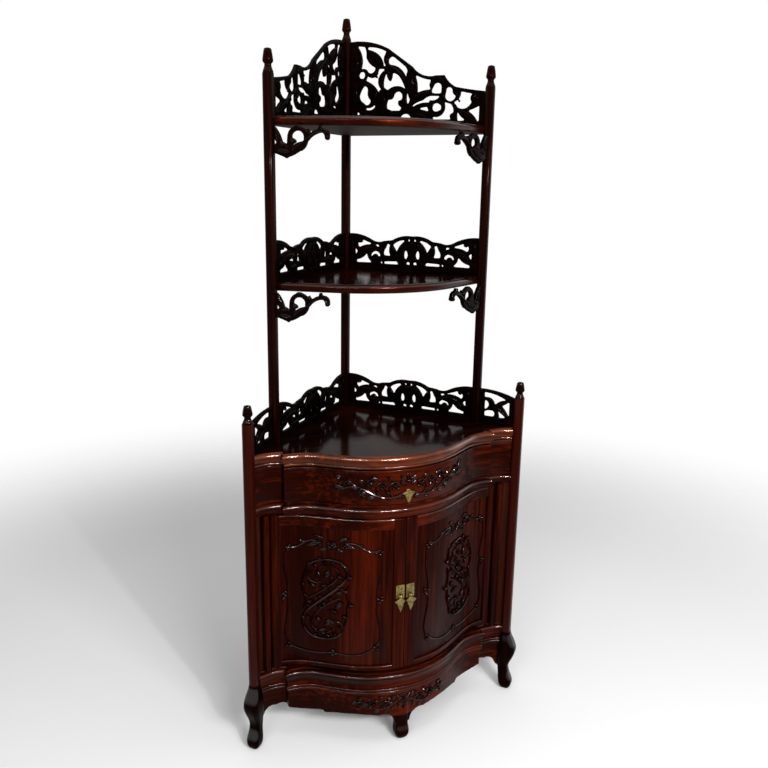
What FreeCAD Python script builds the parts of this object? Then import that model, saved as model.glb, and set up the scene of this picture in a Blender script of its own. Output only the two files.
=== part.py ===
import FreeCAD, Part
import math
import os
import Sketcher
from FreeCAD import Placement, Rotation, Vector

# Corner etagere: a bow-fronted corner cabinet with one drawer and two doors, and two
# open shelves above it on three posts, with pierced vine galleries along both walls.
# Plan shapes are drawn from the rear post's axis, with the front towards -Y; the two
# walls run at 45 degrees from that axis. Every piece is then moved back by corner_y.

DIMENSIONS = {
    # plan
    "corner_y": 240,
    "front_post_reach": 378,
    "shelf_post_reach": 291,
    "front_post_size": 26,
    "front_post_round": 9,
    "upper_post_size": 24,
    "upper_post_round": 8,
    "front_depth": 498,
    "front_span": 276,
    "front_rise": 106,
    "front_flank": 35,
    "front_bow_share": 0.72,
    "wing_x": 298,
    "scoop_x": 318,
    "scoop_depth": 370,
    "scoop_radius": 120,
    "door_depth": 486,
    "door_span": 314,
    "door_rise": 120,
    "door_flank": 33,
    "door_bow_share": 0.65,
    "shelf_depth": 415,
    "shelf_bow_radius": 290,
    "shelf_flank": 33,
    "wall_panel_thick": 8,
    "top_wall_edge": 13,
    "shelf_wall_edge": 8,
    "moulding_back": 30,
    "frieze_front": 6,
    "frieze_back": 26,
    "frieze_gap": 1.5,
    "apron_front": 9,
    "apron_back": 27,
    # heights
    "foot_height": 186,
    "foot_trim": 30,
    "foot_trim_width": 120,
    "centre_foot_inset": 26,
    "apron_bottom": 40,
    "base_moulding_bottom": 146,
    "floor_level": 208,
    "door_bottom": 211,
    "door_top": 647,
    "waist_bottom": 650,
    "waist_top": 684,
    "drawer_board_thick": 12,
    "drawer_board_top": 676,
    "drawer_front_bottom": 687,
    "drawer_front_top": 777,
    "top_bottom": 780,
    "top_board_bottom": 788,
    "top_level": 815,
    "front_post_top": 900,
    "middle_shelf_bottom": 1206,
    "top_shelf_bottom": 1596,
    "shelf_thick": 22,
    "shelf_edge_round": 9.5,
    "side_post_top": 1710,
    "rear_post_top": 1843,
    "back_panel_bottom": 150,
    "bottom_board_thick": 14,
    # small parts
    "front_finial_height": 46,
    "side_finial_height": 55,
    "rear_finial_height": 57,
    "finial_foot_radius": 12.5,
    "finial_neck_radius": 8.3,
    "finial_bud_radius": 12.8,
    "finial_tip_radius": 8.8,
    "finial_peg_radius": 5,
    "finial_peg_length": 16,
    "finial_peg_bore": 16.5,
    "post_pin_radius": 6,
    "post_pin_length": 15,
    "gallery_thick": 9,
    "gallery_housing": 3,
    "bracket_thick": 12,
    "door_thick": 22,
    "door_gap": 1,
    "meeting_stile": 31,
    "hinge_stile": 24,
    "top_rail": 32,
    "bottom_rail": 18,
    "door_edge_round": 8,
    "rail_round": 3.8,
    "panel_recess": 4,
    "panel_back": 17,
    "tongue_front": 8,
    "tongue_back": 14,
    "tongue_depth": 6,
    "pivot_radius": 5,
    "pivot_clearance": 0.05,
    "pivot_length": 12,
    "jamb_inner": 327,
    "jamb_outer": 347,
    "jamb_depth": 371,
    "jamb_round": 8,
    "drawer_front_inset": 7,
    "drawer_front_thick": 20,
    "drawer_front_end": 292,
    "drawer_half_width": 176,
    "drawer_side_thick": 11,
    "drawer_back_depth": 205,
    "drawer_back_thick": 11,
    "drawer_side_bottom": 688,
    "drawer_side_top": 764,
    "drawer_bottom_level": 694,
    "drawer_bottom_thick": 6,
    "runner_clearance": 0.3,
    "runner_back": 214,
    "runner_front": 390,
    "runner_guide_thick": 10,
    "runner_guide_top": 716,
    "runner_lap": 12,
}

doc = FreeCAD.newDocument("corner_etagere")
sheet = doc.addObject("Spreadsheet::Sheet", "dims")
for row, (alias, value) in enumerate(DIMENSIONS.items(), start=1):
    sheet.set(f"A{row}", alias)
    sheet.set(f"B{row}", str(value))
    sheet.setAlias(f"B{row}", alias)
doc.recompute()

UP = Vector(0, 0, 1)
DIAGONAL = math.sqrt(0.5)
subparts = []


def dim(alias):
    return float(sheet.get(alias))


def node(piece, label):
    piece.Label = label
    subparts.append(piece)
    return piece


def stand(piece, across="0", forward="0", level="0", turn=0):
    piece.Placement = Placement(Vector(), Rotation(UP, turn))
    piece.setExpression("Placement.Base.x", across)
    piece.setExpression("Placement.Base.y", f"dims.corner_y - ({forward})")
    piece.setExpression("Placement.Base.z", level)
    return piece


def shaped(label, shape):
    piece = doc.addObject("Part::Feature", label)
    piece.Shape = shape.removeSplitter()
    return node(stand(piece), label)


def mirrored(source, label):
    piece = doc.addObject("Part::Mirroring", label)
    piece.Source = source
    piece.Normal = Vector(1, 0, 0)
    return node(piece, label)


def grouped(label, pieces):
    group = doc.addObject("Part::Compound", label)
    group.Links = pieces
    return node(group, label)


# Sketch helpers

def new_body(label):
    return doc.addObject("PartDesign::Body", label)


def new_sketch(body, role, level="0"):
    sketch = body.newObject("Sketcher::SketchObject", "profile")
    plane = next(plane for plane in body.Origin.OriginFeatures if plane.Role == role)
    sketch.AttachmentSupport = (plane, [""])
    sketch.MapMode = "FlatFace"
    sketch.setExpression("AttachmentOffset.Base.z", level)
    return sketch


def draw_loop(sketch, points):
    for start, end in zip(points, points[1:] + points[:1]):
        sketch.addGeometry(Part.LineSegment(Vector(*start, 0), Vector(*end, 0)))
    for index in range(len(points)):
        following = (index + 1) % len(points)
        sketch.addConstraint(Sketcher.Constraint("Coincident", index, 2, following, 1))


def draw_rectangle(sketch, width, height):
    x, y = dim(width) / 2, dim(height) / 2
    draw_loop(sketch, [(-x, -y), (x, -y), (x, y), (-x, y)])
    for index, kind in enumerate(("Horizontal", "Vertical", "Horizontal", "Vertical")):
        sketch.addConstraint(Sketcher.Constraint(kind, index))
    sketch.addConstraint(Sketcher.Constraint("Symmetric", 0, 1, 1, 2, -1, 1))
    across = sketch.addConstraint(Sketcher.Constraint("DistanceX", 0, 1, 0, 2, 2 * x))
    along = sketch.addConstraint(Sketcher.Constraint("DistanceY", 1, 1, 1, 2, 2 * y))
    sketch.setExpression(f"Constraints[{across}]", f"dims.{width}")
    sketch.setExpression(f"Constraints[{along}]", f"dims.{height}")


def draw_circle(sketch, radius):
    sketch.addGeometry(Part.Circle(Vector(), UP, dim(radius)))
    sketch.addConstraint(Sketcher.Constraint("Coincident", 0, 3, -1, 1))
    size = sketch.addConstraint(Sketcher.Constraint("Radius", 0, dim(radius)))
    sketch.setExpression(f"Constraints[{size}]", f"dims.{radius}")


def add_pad(body, sketch, length):
    pad = body.newObject("PartDesign::Pad", "pad")
    pad.Profile = sketch
    pad.setExpression("Length", length)
    doc.recompute()
    return pad


def add_pocket(body, sketch, depth):
    before = body.Shape.Volume
    pocket = body.newObject("PartDesign::Pocket", "pocket")
    pocket.Profile = sketch
    pocket.setExpression("Length", depth)
    doc.recompute()
    if body.Shape.Volume >= before:
        raise ValueError(f"the pocket in {body.Label} cuts nothing")
    return pocket


def add_fillet(body, feature, edges, radius):
    fillet = body.newObject("PartDesign::Fillet", "fillet")
    fillet.Base = (feature, edges)
    fillet.setExpression("Radius", radius)
    doc.recompute()
    return fillet


def edge_names(shape, wanted):
    return [f"Edge{i}" for i, edge in enumerate(shape.Edges, start=1) if wanted(edge)]


def is_upright(edge):
    return abs(edge.tangentAt(edge.FirstParameter).z) > 0.999


# Plan curves of the cabinet's front

class Serpentine:
    """Half of a bow front: a convex bow, a straight flank and a hollow sweep."""

    def __init__(self, name):
        self.depth = dim(f"{name}_depth")
        self.span = dim(f"{name}_span")
        self.angle = math.radians(dim(f"{name}_flank"))
        rise = dim(f"{name}_rise")
        radii = (self.span - rise / math.tan(self.angle)) / math.tan(self.angle / 2)
        self.bow = radii * dim(f"{name}_bow_share")
        self.sweep = radii - self.bow
        self.flank = (rise - radii * (1 - math.cos(self.angle))) / math.sin(self.angle)
        self.along = Vector(math.cos(self.angle), math.sin(self.angle), 0)
        self.inward = Vector(-math.sin(self.angle), math.cos(self.angle), 0)
        self.bow_centre = Vector(0, self.bow - self.depth, 0)
        self.sweep_centre = Vector(self.span, rise - self.depth - self.sweep, 0)

    def edges(self, inset, reach):
        """The half front at an inset, from the middle to x = reach."""
        radius = self.sweep + inset
        middle = self.bow_centre + Vector(0, inset - self.bow, 0)
        half = self.angle / 2
        bow_way = Vector(math.sin(half), -math.cos(half), 0)
        bow_mid = self.bow_centre + bow_way * (self.bow - inset)
        bow_end = self.bow_centre - self.inward * (self.bow - inset)
        flank_end = bow_end + self.along * self.flank
        lead = math.asin((reach - self.span) / radius)
        turn = (lead - self.angle) / 2
        sweep_mid = self.sweep_centre + Vector(math.sin(turn), math.cos(turn), 0) * radius
        sweep_end = self.sweep_centre + Vector(math.sin(lead), math.cos(lead), 0) * radius
        return [
            Part.Arc(middle, bow_mid, bow_end).toShape(),
            Part.LineSegment(bow_end, flank_end).toShape(),
            Part.Arc(flank_end, sweep_mid, sweep_end).toShape(),
        ]

    def swept(self, section, reach):
        """A section drawn in the middle plane, carried along the half front."""
        degrees = math.degrees(self.angle)
        lead = math.degrees(math.asin((reach - self.span) / self.sweep))
        bow = section.revolve(self.bow_centre, UP, degrees)
        turned = section.rotated(self.bow_centre, UP, degrees)
        flank = turned.extrude(self.along * self.flank)
        moved = turned.translated(self.along * self.flank)
        sweep = moved.revolve(self.sweep_centre, UP, -degrees - lead)
        return bow.fuse([flank, sweep])


front = Serpentine("front")
door = Serpentine("door")
wing_x = dim("wing_x")
scoop_centre = Vector(dim("scoop_x"), -dim("scoop_depth") - dim("scoop_radius"), 0)
SCOOP_LEAD, SCOOP_TURN = 26, 62
FAR = 900


def end_of(edges, last=True):
    edge = edges[-1] if last else edges[0]
    return edge.valueAt(edge.LastParameter if last else edge.FirstParameter)


def face_of(edges):
    wires = Part.sortEdges(edges)
    return Part.Face(Part.Wire(wires[0]))


def polygon_face(points):
    return Part.Face(Part.makePolygon(points + points[:1]))


def slab(face, bottom, top):
    return face.translated(UP * bottom).extrude(UP * (top - bottom))


def box(x, y, z):
    corner = Vector(x[0], y[0], z[0])
    return Part.makeBox(x[1] - x[0], y[1] - y[0], z[1] - z[0], corner)


def strip(curve, insets, reach, heights):
    """A curved board of half the front, between two insets and two heights."""
    outer = curve.edges(insets[0], reach)
    inner = curve.edges(insets[1], reach)
    ends = [
        Part.LineSegment(end_of(outer, False), end_of(inner, False)).toShape(),
        Part.LineSegment(end_of(outer), end_of(inner)).toShape(),
    ]
    return slab(face_of(outer + inner + ends), *heights)


def largest(shape):
    """A cut board without the offcuts behind the post."""
    return max(shape.Solids, key=lambda solid: solid.Volume)


def both_halves(shape):
    return shape.fuse(shape.mirror(Vector(), Vector(1, 0, 0)))


def corner_prism(edge, bottom, top):
    """Everything in front of the two walls, to a distance past the posts' axis line."""
    tip = edge / DIAGONAL
    corners = [Vector(0, tip, 0), Vector(FAR, tip - FAR, 0), Vector(-FAR, tip - FAR, 0)]
    return slab(polygon_face(corners), bottom, top)


# Moulding sections, as steps of (inset from the outermost line, height); a step with
# four numbers is an arc through its first point to its second

def moulding_steps(name):
    top = dim("top_level")
    waist = dim("waist_bottom")
    base = dim("base_moulding_bottom")
    steps = {
        "top": [(11, top - 35), (7, top - 31, 11, top - 27), (5, top - 27),
                (3, top - 24), (0, top - 14, 7, top)],
        "waist": [(9, waist), (9, waist + 5), (5, waist + 6), (0, waist + 17, 6, waist + 28),
                  (10, waist + 29), (10, waist + 34)],
        "base": [(9, base), (5, base + 4, 9, base + 8), (5, base + 12, 9, base + 16),
                 (6, base + 18), (7, base + 30, 3, base + 42), (0, base + 51, 5, base + 58),
                 (11, base + 59), (11, base + 62)],
    }
    return steps[name]


def section_edges(steps, place):
    edges = []
    here = place(*steps[0])
    for step in steps[1:]:
        there = place(*step[-2:])
        if len(step) == 2:
            edges.append(Part.LineSegment(here, there).toShape())
        else:
            edges.append(Part.Arc(here, place(*step[:2]), there).toShape())
        here = there
    return edges


def closed_section(steps, place, back):
    edges = section_edges(steps, place)
    ends = [place(back, steps[0][-1]), place(back, steps[-1][-1])]
    edges.append(Part.LineSegment(place(*steps[-1][-2:]), ends[1]).toShape())
    edges.append(Part.LineSegment(ends[1], ends[0]).toShape())
    edges.append(Part.LineSegment(ends[0], place(*steps[0])).toShape())
    return face_of(edges)


def half_moulding(name):
    """A moulding of half the front, mitred where the front steps back to the scoop."""
    steps = moulding_steps(name)
    back = dim("moulding_back")
    main = front.swept(
        closed_section(steps, lambda d, z: Vector(0, d - front.depth, z), back), wing_x + 20)
    wing = closed_section(steps, lambda d, z: Vector(wing_x - d, -FAR, z), wing_x + back)
    main = main.common(wing.extrude(Vector(0, FAR, 0)))
    behind = scoop_centre + Vector(0, dim("scoop_radius"), 0)
    hollow = closed_section(steps, lambda d, z: behind + Vector(0, d, z), back)
    hollow = hollow.rotated(scoop_centre, UP, SCOOP_LEAD).revolve(scoop_centre, UP, -SCOOP_TURN)
    heights = (steps[0][-1], steps[-1][-1])
    hollow = hollow.common(box((wing_x - back, dim("front_post_reach")), (-FAR, 0), heights))
    return main.fuse(hollow)


def scoop_strip(insets, heights):
    """The hollow narrow board between the step in the front and the post."""
    radii = [dim("scoop_radius") + inset for inset in insets]
    sector = Part.makeCylinder(radii[1], heights[1] - heights[0], scoop_centre, UP, SCOOP_TURN)
    sector = sector.cut(Part.makeCylinder(radii[0], heights[1] - heights[0], scoop_centre))
    sector.rotate(scoop_centre, UP, 90 + SCOOP_LEAD - SCOOP_TURN)
    sector.translate(UP * heights[0])
    return sector


def board_face(inset, edge):
    """The plan of a board that fills the corner, set back from the front line."""
    main = front.edges(inset, wing_x - inset)
    corner = end_of(main)
    radius = dim("scoop_radius") + inset
    drop = lambda x: scoop_centre.y + math.sqrt(radius ** 2 - (x - scoop_centre.x) ** 2)
    tip = edge / DIAGONAL
    total, rise = scoop_centre.x + tip - scoop_centre.y, tip - scoop_centre.y
    spread = total ** 2 - 2 * (scoop_centre.x ** 2 + rise ** 2 - radius ** 2)
    outer = (total - math.sqrt(spread)) / 2
    middle = (corner.x + outer) / 2
    points = [Vector(x, drop(x), 0) for x in (corner.x, middle, outer)]
    half = main + [
        Part.LineSegment(corner, points[0]).toShape(),
        Part.Arc(*points).toShape(),
        Part.LineSegment(points[2], Vector(0, tip, 0)).toShape(),
    ]
    return face_of(half + [edge.mirror(Vector(), Vector(1, 0, 0)) for edge in half])


# Posts, finials and feet

def post(label, size, corner, top, bottom, pin=False):
    body = new_body(label)
    section = new_sketch(body, "XY_Plane")
    draw_rectangle(section, size, size)
    shaft = add_pad(body, section, f"{top} - {bottom}")
    add_fillet(body, shaft, edge_names(shaft.Shape, is_upright), corner)
    if top != "dims.top_board_bottom":
        bore = new_sketch(body, "XY_Plane", f"{top} - {bottom}")
        draw_circle(bore, "finial_peg_radius")
        add_pocket(body, bore, "dims.finial_peg_bore")
    if pin:
        end = new_sketch(body, "XY_Plane", "-dims.post_pin_length")
        draw_circle(end, "post_pin_radius")
        add_pad(body, end, "dims.post_pin_length")
    return node(body, label)


def make_posts():
    round_front, round_upper = "dims.front_post_round", "dims.upper_post_round"
    reach, shelf_reach = "dims.front_post_reach", "dims.shelf_post_reach"
    board, level = "dims.top_board_bottom", "(dims.top_level - dims.gallery_housing)"
    rear_leg = post("rear_leg", "upper_post_size", round_upper, board, "0")
    stand(rear_leg, turn=45)
    right = post("front_post_right", "front_post_size", round_front,
                 "dims.front_post_top", "dims.foot_height")
    stand(right, reach, reach, "dims.foot_height", 45)
    rear = post("rear_post", "upper_post_size", round_upper, "dims.rear_post_top", level, True)
    stand(rear, level=level, turn=45)
    side = post("shelf_post_right", "upper_post_size", round_upper,
                "dims.side_post_top", level, True)
    stand(side, shelf_reach, shelf_reach, level, 45)
    doc.recompute()
    left = mirrored(right, "front_post_left")
    side_left = mirrored(side, "shelf_post_left")
    doc.recompute()
    return {"rear_leg": rear_leg, "front": right, "front_left": left,
            "rear": rear, "side": side, "side_left": side_left}


# Levels of the bud finial, as fractions of its height
FOOT_TOP, NECK_BOTTOM, NECK_TOP, BUD_LEVEL, DOME_RIM = 0.06, 0.28, 0.37, 0.48, 0.95
# Middle of each turned curve: its level, and its share of the way to the second radius
HOLLOW, SHOULDER, CHEEK = (0.16, 0.44), (0.42, 0.6), (0.72, 0.43)


def finial(label, height):
    body = new_body(label)
    tall, deep = dim(height), dim("finial_peg_length")
    peg, tip = dim("finial_peg_radius"), dim("finial_tip_radius")
    base, neck, bud = (dim(f"finial_{name}_radius") for name in ("foot", "neck", "bud"))
    dome_rise = tall * (1 - DOME_RIM)
    dome_radius = (tip ** 2 + dome_rise ** 2) / (2 * dome_rise)
    half = math.asin(tip / dome_radius) / 2
    dome_middle = Vector(dome_radius * math.sin(half), tall - dome_radius * (1 - math.cos(half)), 0)
    at = lambda radius, level: Vector(radius, level * tall, 0)
    between = lambda first, second, curve: at(first + (second - first) * curve[1], curve[0])
    sketch = new_sketch(body, "XZ_Plane")
    line = lambda a, b: sketch.addGeometry(Part.LineSegment(a, b))
    arc = lambda a, b, c: sketch.addGeometry(Part.Arc(a, b, c))
    line(Vector(0, -deep, 0), Vector(peg, -deep, 0))
    line(Vector(peg, -deep, 0), Vector(peg, 0, 0))
    line(Vector(peg, 0, 0), at(base, 0))
    line(at(base, 0), at(base, FOOT_TOP))
    arc(at(base, FOOT_TOP), between(base, neck, HOLLOW), at(neck, NECK_BOTTOM))
    line(at(neck, NECK_BOTTOM), at(neck, NECK_TOP))
    arc(at(neck, NECK_TOP), between(neck, bud, SHOULDER), at(bud, BUD_LEVEL))
    arc(at(bud, BUD_LEVEL), between(bud, tip, CHEEK), at(tip, DOME_RIM))
    arc(at(tip, DOME_RIM), dome_middle, at(0, 1))
    line(at(0, 1), Vector(0, -deep, 0))
    turned = body.newObject("PartDesign::Revolution", "turned")
    turned.Profile = sketch
    turned.ReferenceAxis = (sketch, ["V_Axis"])
    turned.Angle = 360
    doc.recompute()
    return body


def make_finials():
    reach, side = "dims.front_post_reach", "dims.shelf_post_reach"
    low, high = [], []
    for sign in ("-", ""):
        bud = finial("front_finial", "front_finial_height")
        low.append(stand(bud, f"{sign}{reach}", reach, "dims.front_post_top"))
        bud = finial("side_finial", "side_finial_height")
        high.append(stand(bud, f"{sign}{side}", side, "dims.side_post_top"))
    high.append(stand(finial("rear_finial", "rear_finial_height"), level="dims.rear_post_top"))
    grouped("front_finials", low)
    grouped("upper_finials", high)


# Cabriole foot: height, width outwards, width across, shift outwards
CORNER_FOOT = [(0, 21, 21, 6), (9, 34, 33, 6), (24, 39, 37, 5), (44, 34, 33, 1),
               (66, 30, 31, -3), (98, 40, 40, 2), (126, 48, 45, 7), (152, 42, 40, 5),
               (172, 31, 31, 1.5), (190, 27, 27, 0)]
CENTRE_FOOT = [(0, 21, 21, 7), (9, 35, 35, 7), (24, 40, 40, 6), (42, 36, 36, 3.5),
               (60, 35, 36, 2.5), (80, 36, 38, 2.5), (100, 36, 40, 2), (120, 36, 42, 1),
               (140, 36, 43, 0), (160, 36, 44, -1)]
FOOT_ROUND = 0.32


def rounded_rectangle(sketch, wide, deep, shift):
    radius = FOOT_ROUND * min(wide, deep)
    x, y = wide / 2, deep / 2
    corners = [(1, 1, 0), (-1, 1, 90), (-1, -1, 180), (1, -1, 270)]
    arcs = []
    for right, up, start in corners:
        centre = Vector(shift + right * (x - radius), up * (y - radius), 0)
        circle = Part.Circle(centre, UP, radius)
        arcs.append(Part.ArcOfCircle(circle, math.radians(start), math.radians(start + 90)))
    for arc, following in zip(arcs, arcs[1:] + arcs[:1]):
        sketch.addGeometry(arc)
        sketch.addGeometry(Part.LineSegment(arc.EndPoint, following.StartPoint))


def foot(label, sections, top):
    body = new_body(label)
    sketches = []
    for level, wide, deep, shift in sections:
        sketch = new_sketch(body, "XY_Plane", str(level))
        rounded_rectangle(sketch, wide, deep, shift)
        sketches.append(sketch)
    loft = body.newObject("PartDesign::AdditiveLoft", "cabriole")
    loft.Profile = sketches[0]
    loft.Sections = sketches[1:]
    doc.recompute()
    trim = new_sketch(body, "XY_Plane", f"dims.{top} + dims.foot_trim")
    draw_rectangle(trim, "foot_trim_width", "foot_trim_width")
    add_pocket(body, trim, "dims.foot_trim")
    return node(body, label)


def make_feet():
    reach = "dims.front_post_reach"
    right = stand(foot("foot_right", CORNER_FOOT, "foot_height"), reach, reach, turn=-45)
    centre = foot("foot_centre", CENTRE_FOOT, "base_moulding_bottom")
    stand(centre, "0", "dims.front_depth - dims.centre_foot_inset", turn=-90)
    doc.recompute()
    left = mirrored(right, "foot_left")
    doc.recompute()
    return {"right": right, "left": left, "centre": centre}


def in_plan(piece):
    """A placed piece's shape, moved back to the plan's own origin."""
    return piece.Shape.translated(Vector(0, -dim("corner_y"), 0))


# Carcass

def make_mouldings(posts, feet):
    panel_edge = -dim("wall_panel_thick") / 2
    spans = {"waist": ("waist_bottom", "waist_top"),
             "base": ("base_moulding_bottom", "floor_level")}
    for name, (low, high) in spans.items():
        half = half_moulding(name)
        half = half.common(corner_prism(panel_edge, dim(low), dim(high)))
        half = half.cut([in_plan(posts["front"]), in_plan(feet["right"])])
        half = half.cut(door_pivots(dim("pivot_radius") + dim("pivot_clearance")))
        shaped(f"{name}_moulding", both_halves(largest(half)))


def make_boards(posts):
    back, panel_edge = dim("moulding_back"), -dim("wall_panel_thick") / 2
    plan = board_face(back, panel_edge)
    floor_level, board_top = dim("floor_level"), dim("drawer_board_top")
    bottom = slab(plan, floor_level - dim("bottom_board_thick"), floor_level)
    shaped("bottom_board", bottom.cut(in_plan(posts["rear_leg"])))
    divider = slab(plan, board_top - dim("drawer_board_thick"), board_top)
    shaped("drawer_board", divider.cut(in_plan(posts["rear_leg"])))
    edge, top = dim("top_wall_edge"), dim("top_level")
    rim = both_halves(half_moulding("top"))
    rim = rim.common(corner_prism(edge, dim("top_bottom"), top))
    field = slab(board_face(back, edge), dim("top_board_bottom"), top)
    fixed = [in_plan(posts[name]) for name in ("front", "front_left", "rear", "side", "side_left")]
    walls = [back_panel_shape(side) for side in (-1, 1)]
    grooves = gallery_grooves(top, dim("front_post_reach") / DIAGONAL)
    shaped("cabinet_top", rim.fuse(field).cut(fixed + walls + [grooves]))


def gallery_grooves(level, run):
    """The grooves along both walls that house the galleries' bottom rails."""
    half, deep = dim("gallery_thick") / 2, dim("gallery_housing")
    groove = box((0, run), (-half, half), (level - deep, level))
    sides = [groove.rotated(Vector(), UP, turn) for turn in (-45, -135)]
    return sides[0].fuse(sides[1])


def back_panel_shape(side):
    """The thin board along one wall, between the rear leg and a front post."""
    thick = dim("wall_panel_thick")
    low, high = dim("back_panel_bottom"), dim("top_board_bottom")
    start = dim("upper_post_size") / 2
    end = dim("front_post_reach") / DIAGONAL - dim("front_post_size") / 2
    board = box((start, end), (-thick / 2, thick / 2), (low, high))
    board.rotate(Vector(), UP, -45 if side > 0 else -135)
    return board


def make_back_panels(feet):
    board = back_panel_shape(1).cut(in_plan(feet["right"]))
    right = shaped("back_panel_right", board)
    doc.recompute()
    mirrored(right, "back_panel_left")


def make_friezes(posts):
    heights = (dim("waist_top"), dim("top_bottom"))
    block = scoop_strip((dim("frieze_front"), dim("frieze_back")), heights)
    inner = dim("drawer_front_end") + dim("frieze_gap")
    block = block.common(box((inner, FAR), (-FAR, FAR), heights))
    block = block.common(corner_prism(-dim("wall_panel_thick") / 2, *heights))
    right = shaped("frieze_right", block.cut(in_plan(posts["front"])))
    doc.recompute()
    mirrored(right, "frieze_left")


def make_jambs(posts):
    heights = (dim("floor_level"), dim("waist_bottom"))
    x = (dim("jamb_inner"), dim("jamb_outer"))
    strip_box = box(x, (-dim("jamb_depth"), 0), heights)
    front_edges = [edge for edge in strip_box.Edges
                   if is_upright(edge) and edge.CenterOfMass.y < -dim("jamb_depth") / 2]
    rounded = strip_box.makeFillet(dim("jamb_round"), front_edges)
    rounded = rounded.common(corner_prism(-dim("wall_panel_thick") / 2, *heights))
    right = shaped("door_jamb_right", rounded.cut(in_plan(posts["front"])))
    doc.recompute()
    mirrored(right, "door_jamb_left")


# The apron's lower edge on the right: corner points and arcs as in the mouldings
APRON_EDGE = [(0, 50), (22, 50), (30, 72, 62, 80), (130, 85, 196, 77), (199, 82, 206, 84),
              (258, 86, 284, 95), (296, 100), (308, 99, 318, 96), (340, 94, 352, 78), (362, 60)]


def make_apron(feet):
    top = dim("base_moulding_bottom")
    heights = (dim("apron_bottom"), top)
    insets = (dim("apron_front"), dim("apron_back"))
    half = strip(front, insets, wing_x + insets[1], heights)
    half = half.common(box((0, wing_x - insets[0]), (-FAR, FAR), heights))
    hollow = scoop_strip(insets, heights)
    hollow = hollow.common(box((wing_x - insets[1], FAR), (-FAR, FAR), heights))
    hollow = hollow.common(corner_prism(-dim("wall_panel_thick") / 2, *heights))
    edge = section_edges(APRON_EDGE, lambda x, z: Vector(x, -FAR, z))
    last = APRON_EDGE[-1][0]
    corners = [Vector(last, -FAR, APRON_EDGE[-1][1]), Vector(FAR, -FAR, APRON_EDGE[-1][1]),
               Vector(FAR, -FAR, top), Vector(0, -FAR, top), Vector(0, -FAR, APRON_EDGE[0][1])]
    edge += [Part.LineSegment(a, b).toShape() for a, b in zip(corners, corners[1:])]
    scallop = face_of(edge).extrude(Vector(0, FAR, 0))
    half = half.fuse(hollow).common(scallop)
    whole = both_halves(half)
    shaped("apron", whole.cut([in_plan(foot_piece) for foot_piece in feet.values()]))


# Shelves

def shelf(label, bottom, posts):
    body = new_body(f"{label}_board")
    sketch = new_sketch(body, "XY_Plane")
    angle = math.radians(dim("shelf_flank"))
    radius = dim("shelf_bow_radius")
    middle = Vector(0, -dim("shelf_depth"), 0)
    bow_end = middle + Vector(math.sin(angle), 1 - math.cos(angle), 0) * radius
    tip = Vector(0, dim("shelf_wall_edge") / DIAGONAL, 0)
    slope = math.tan(angle)
    wall_x = (tip.y - bow_end.y + slope * bow_end.x) / (1 + slope)
    wall_end = Vector(wall_x, tip.y - wall_x, 0)
    flip = lambda point: Vector(-point.x, point.y, 0)
    sketch.addGeometry(Part.LineSegment(tip, wall_end))
    sketch.addGeometry(Part.LineSegment(wall_end, bow_end))
    sketch.addGeometry(Part.Arc(bow_end, middle, flip(bow_end)))
    sketch.addGeometry(Part.LineSegment(flip(bow_end), flip(wall_end)))
    sketch.addGeometry(Part.LineSegment(flip(wall_end), tip))
    board = add_pad(body, sketch, "dims.shelf_thick")
    in_front = lambda edge: not is_upright(edge) and edge.CenterOfMass.y < wall_end.y - 1
    add_fillet(body, board, edge_names(board.Shape, in_front), "dims.shelf_edge_round")
    stand(body, level=f"dims.{bottom}")
    doc.recompute()
    notched = doc.addObject("Part::Cut", f"{label}_notched")
    notched.Base = body
    notched.Tool = posts
    grooves = doc.addObject("Part::Feature", f"{label}_grooves")
    grooves.Shape = gallery_grooves(dim("shelf_thick"), dim("shelf_post_reach") / DIAGONAL)
    stand(grooves, level=f"dims.{bottom}")
    grooved = doc.addObject("Part::Cut", f"{label}_grooved")
    grooved.Base = notched
    grooved.Tool = grooves
    return node(grooved, label)


def make_shelves(posts):
    three = doc.addObject("Part::Compound", "shelf_posts")
    three.Links = [posts["rear"], posts["side"], posts["side_left"]]
    doc.recompute()
    shelf("middle_shelf", "middle_shelf_bottom", three)
    shelf("top_shelf", "top_shelf_bottom", three)


# Fretwork: flat shapes in (along, up) that are joined and cut from one board

def stem(start, middle, end, width, taper=1.0):
    """A curved stem through three points, narrowing to taper times its width."""
    points = [Vector(*start, 0), Vector(*middle, 0), Vector(*end, 0)]
    widths = [width / 2, width * (1 + taper) / 4, width * taper / 2]
    centre = Part.Arc(*points).toShape().Curve.Center
    outer, inner = [], []
    for point, half in zip(points, widths):
        way = (point - centre).normalize()
        outer.append(point + way * half)
        inner.append(point - way * half)
    edges = [Part.Arc(*outer).toShape(), Part.LineSegment(outer[2], inner[2]).toShape(),
             Part.Arc(*reversed(inner)).toShape(), Part.LineSegment(inner[0], outer[0]).toShape()]
    return face_of(edges)


def leaf(base, tip, width, bend=0.0):
    """A pointed leaf between two points; bend pushes its middle to the left."""
    start, end = Vector(*base, 0), Vector(*tip, 0)
    way = end - start
    left = Vector(-way.y, way.x, 0).normalize()
    middle = (start + end) / 2 + left * bend
    sides = [middle + left * (width / 2), middle - left * (width / 2)]
    return face_of([Part.Arc(start, sides[0], end).toShape(),
                    Part.Arc(end, sides[1], start).toShape()])


def knob(centre, radius):
    return Part.Face(Part.Wire(Part.makeCircle(radius, Vector(*centre, 0))))


def plate(left, right, low, high):
    return polygon_face([Vector(left, low, 0), Vector(right, low, 0),
                         Vector(right, high, 0), Vector(left, high, 0)])


def fretted(faces, thick):
    """One board of even thickness, cut to the outline of all the faces together."""
    solids = [face.extrude(UP * thick).translated(UP * (-thick / 2)) for face in faces]
    return solids[0].multiFuse(solids[1:]).removeSplitter()


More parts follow.
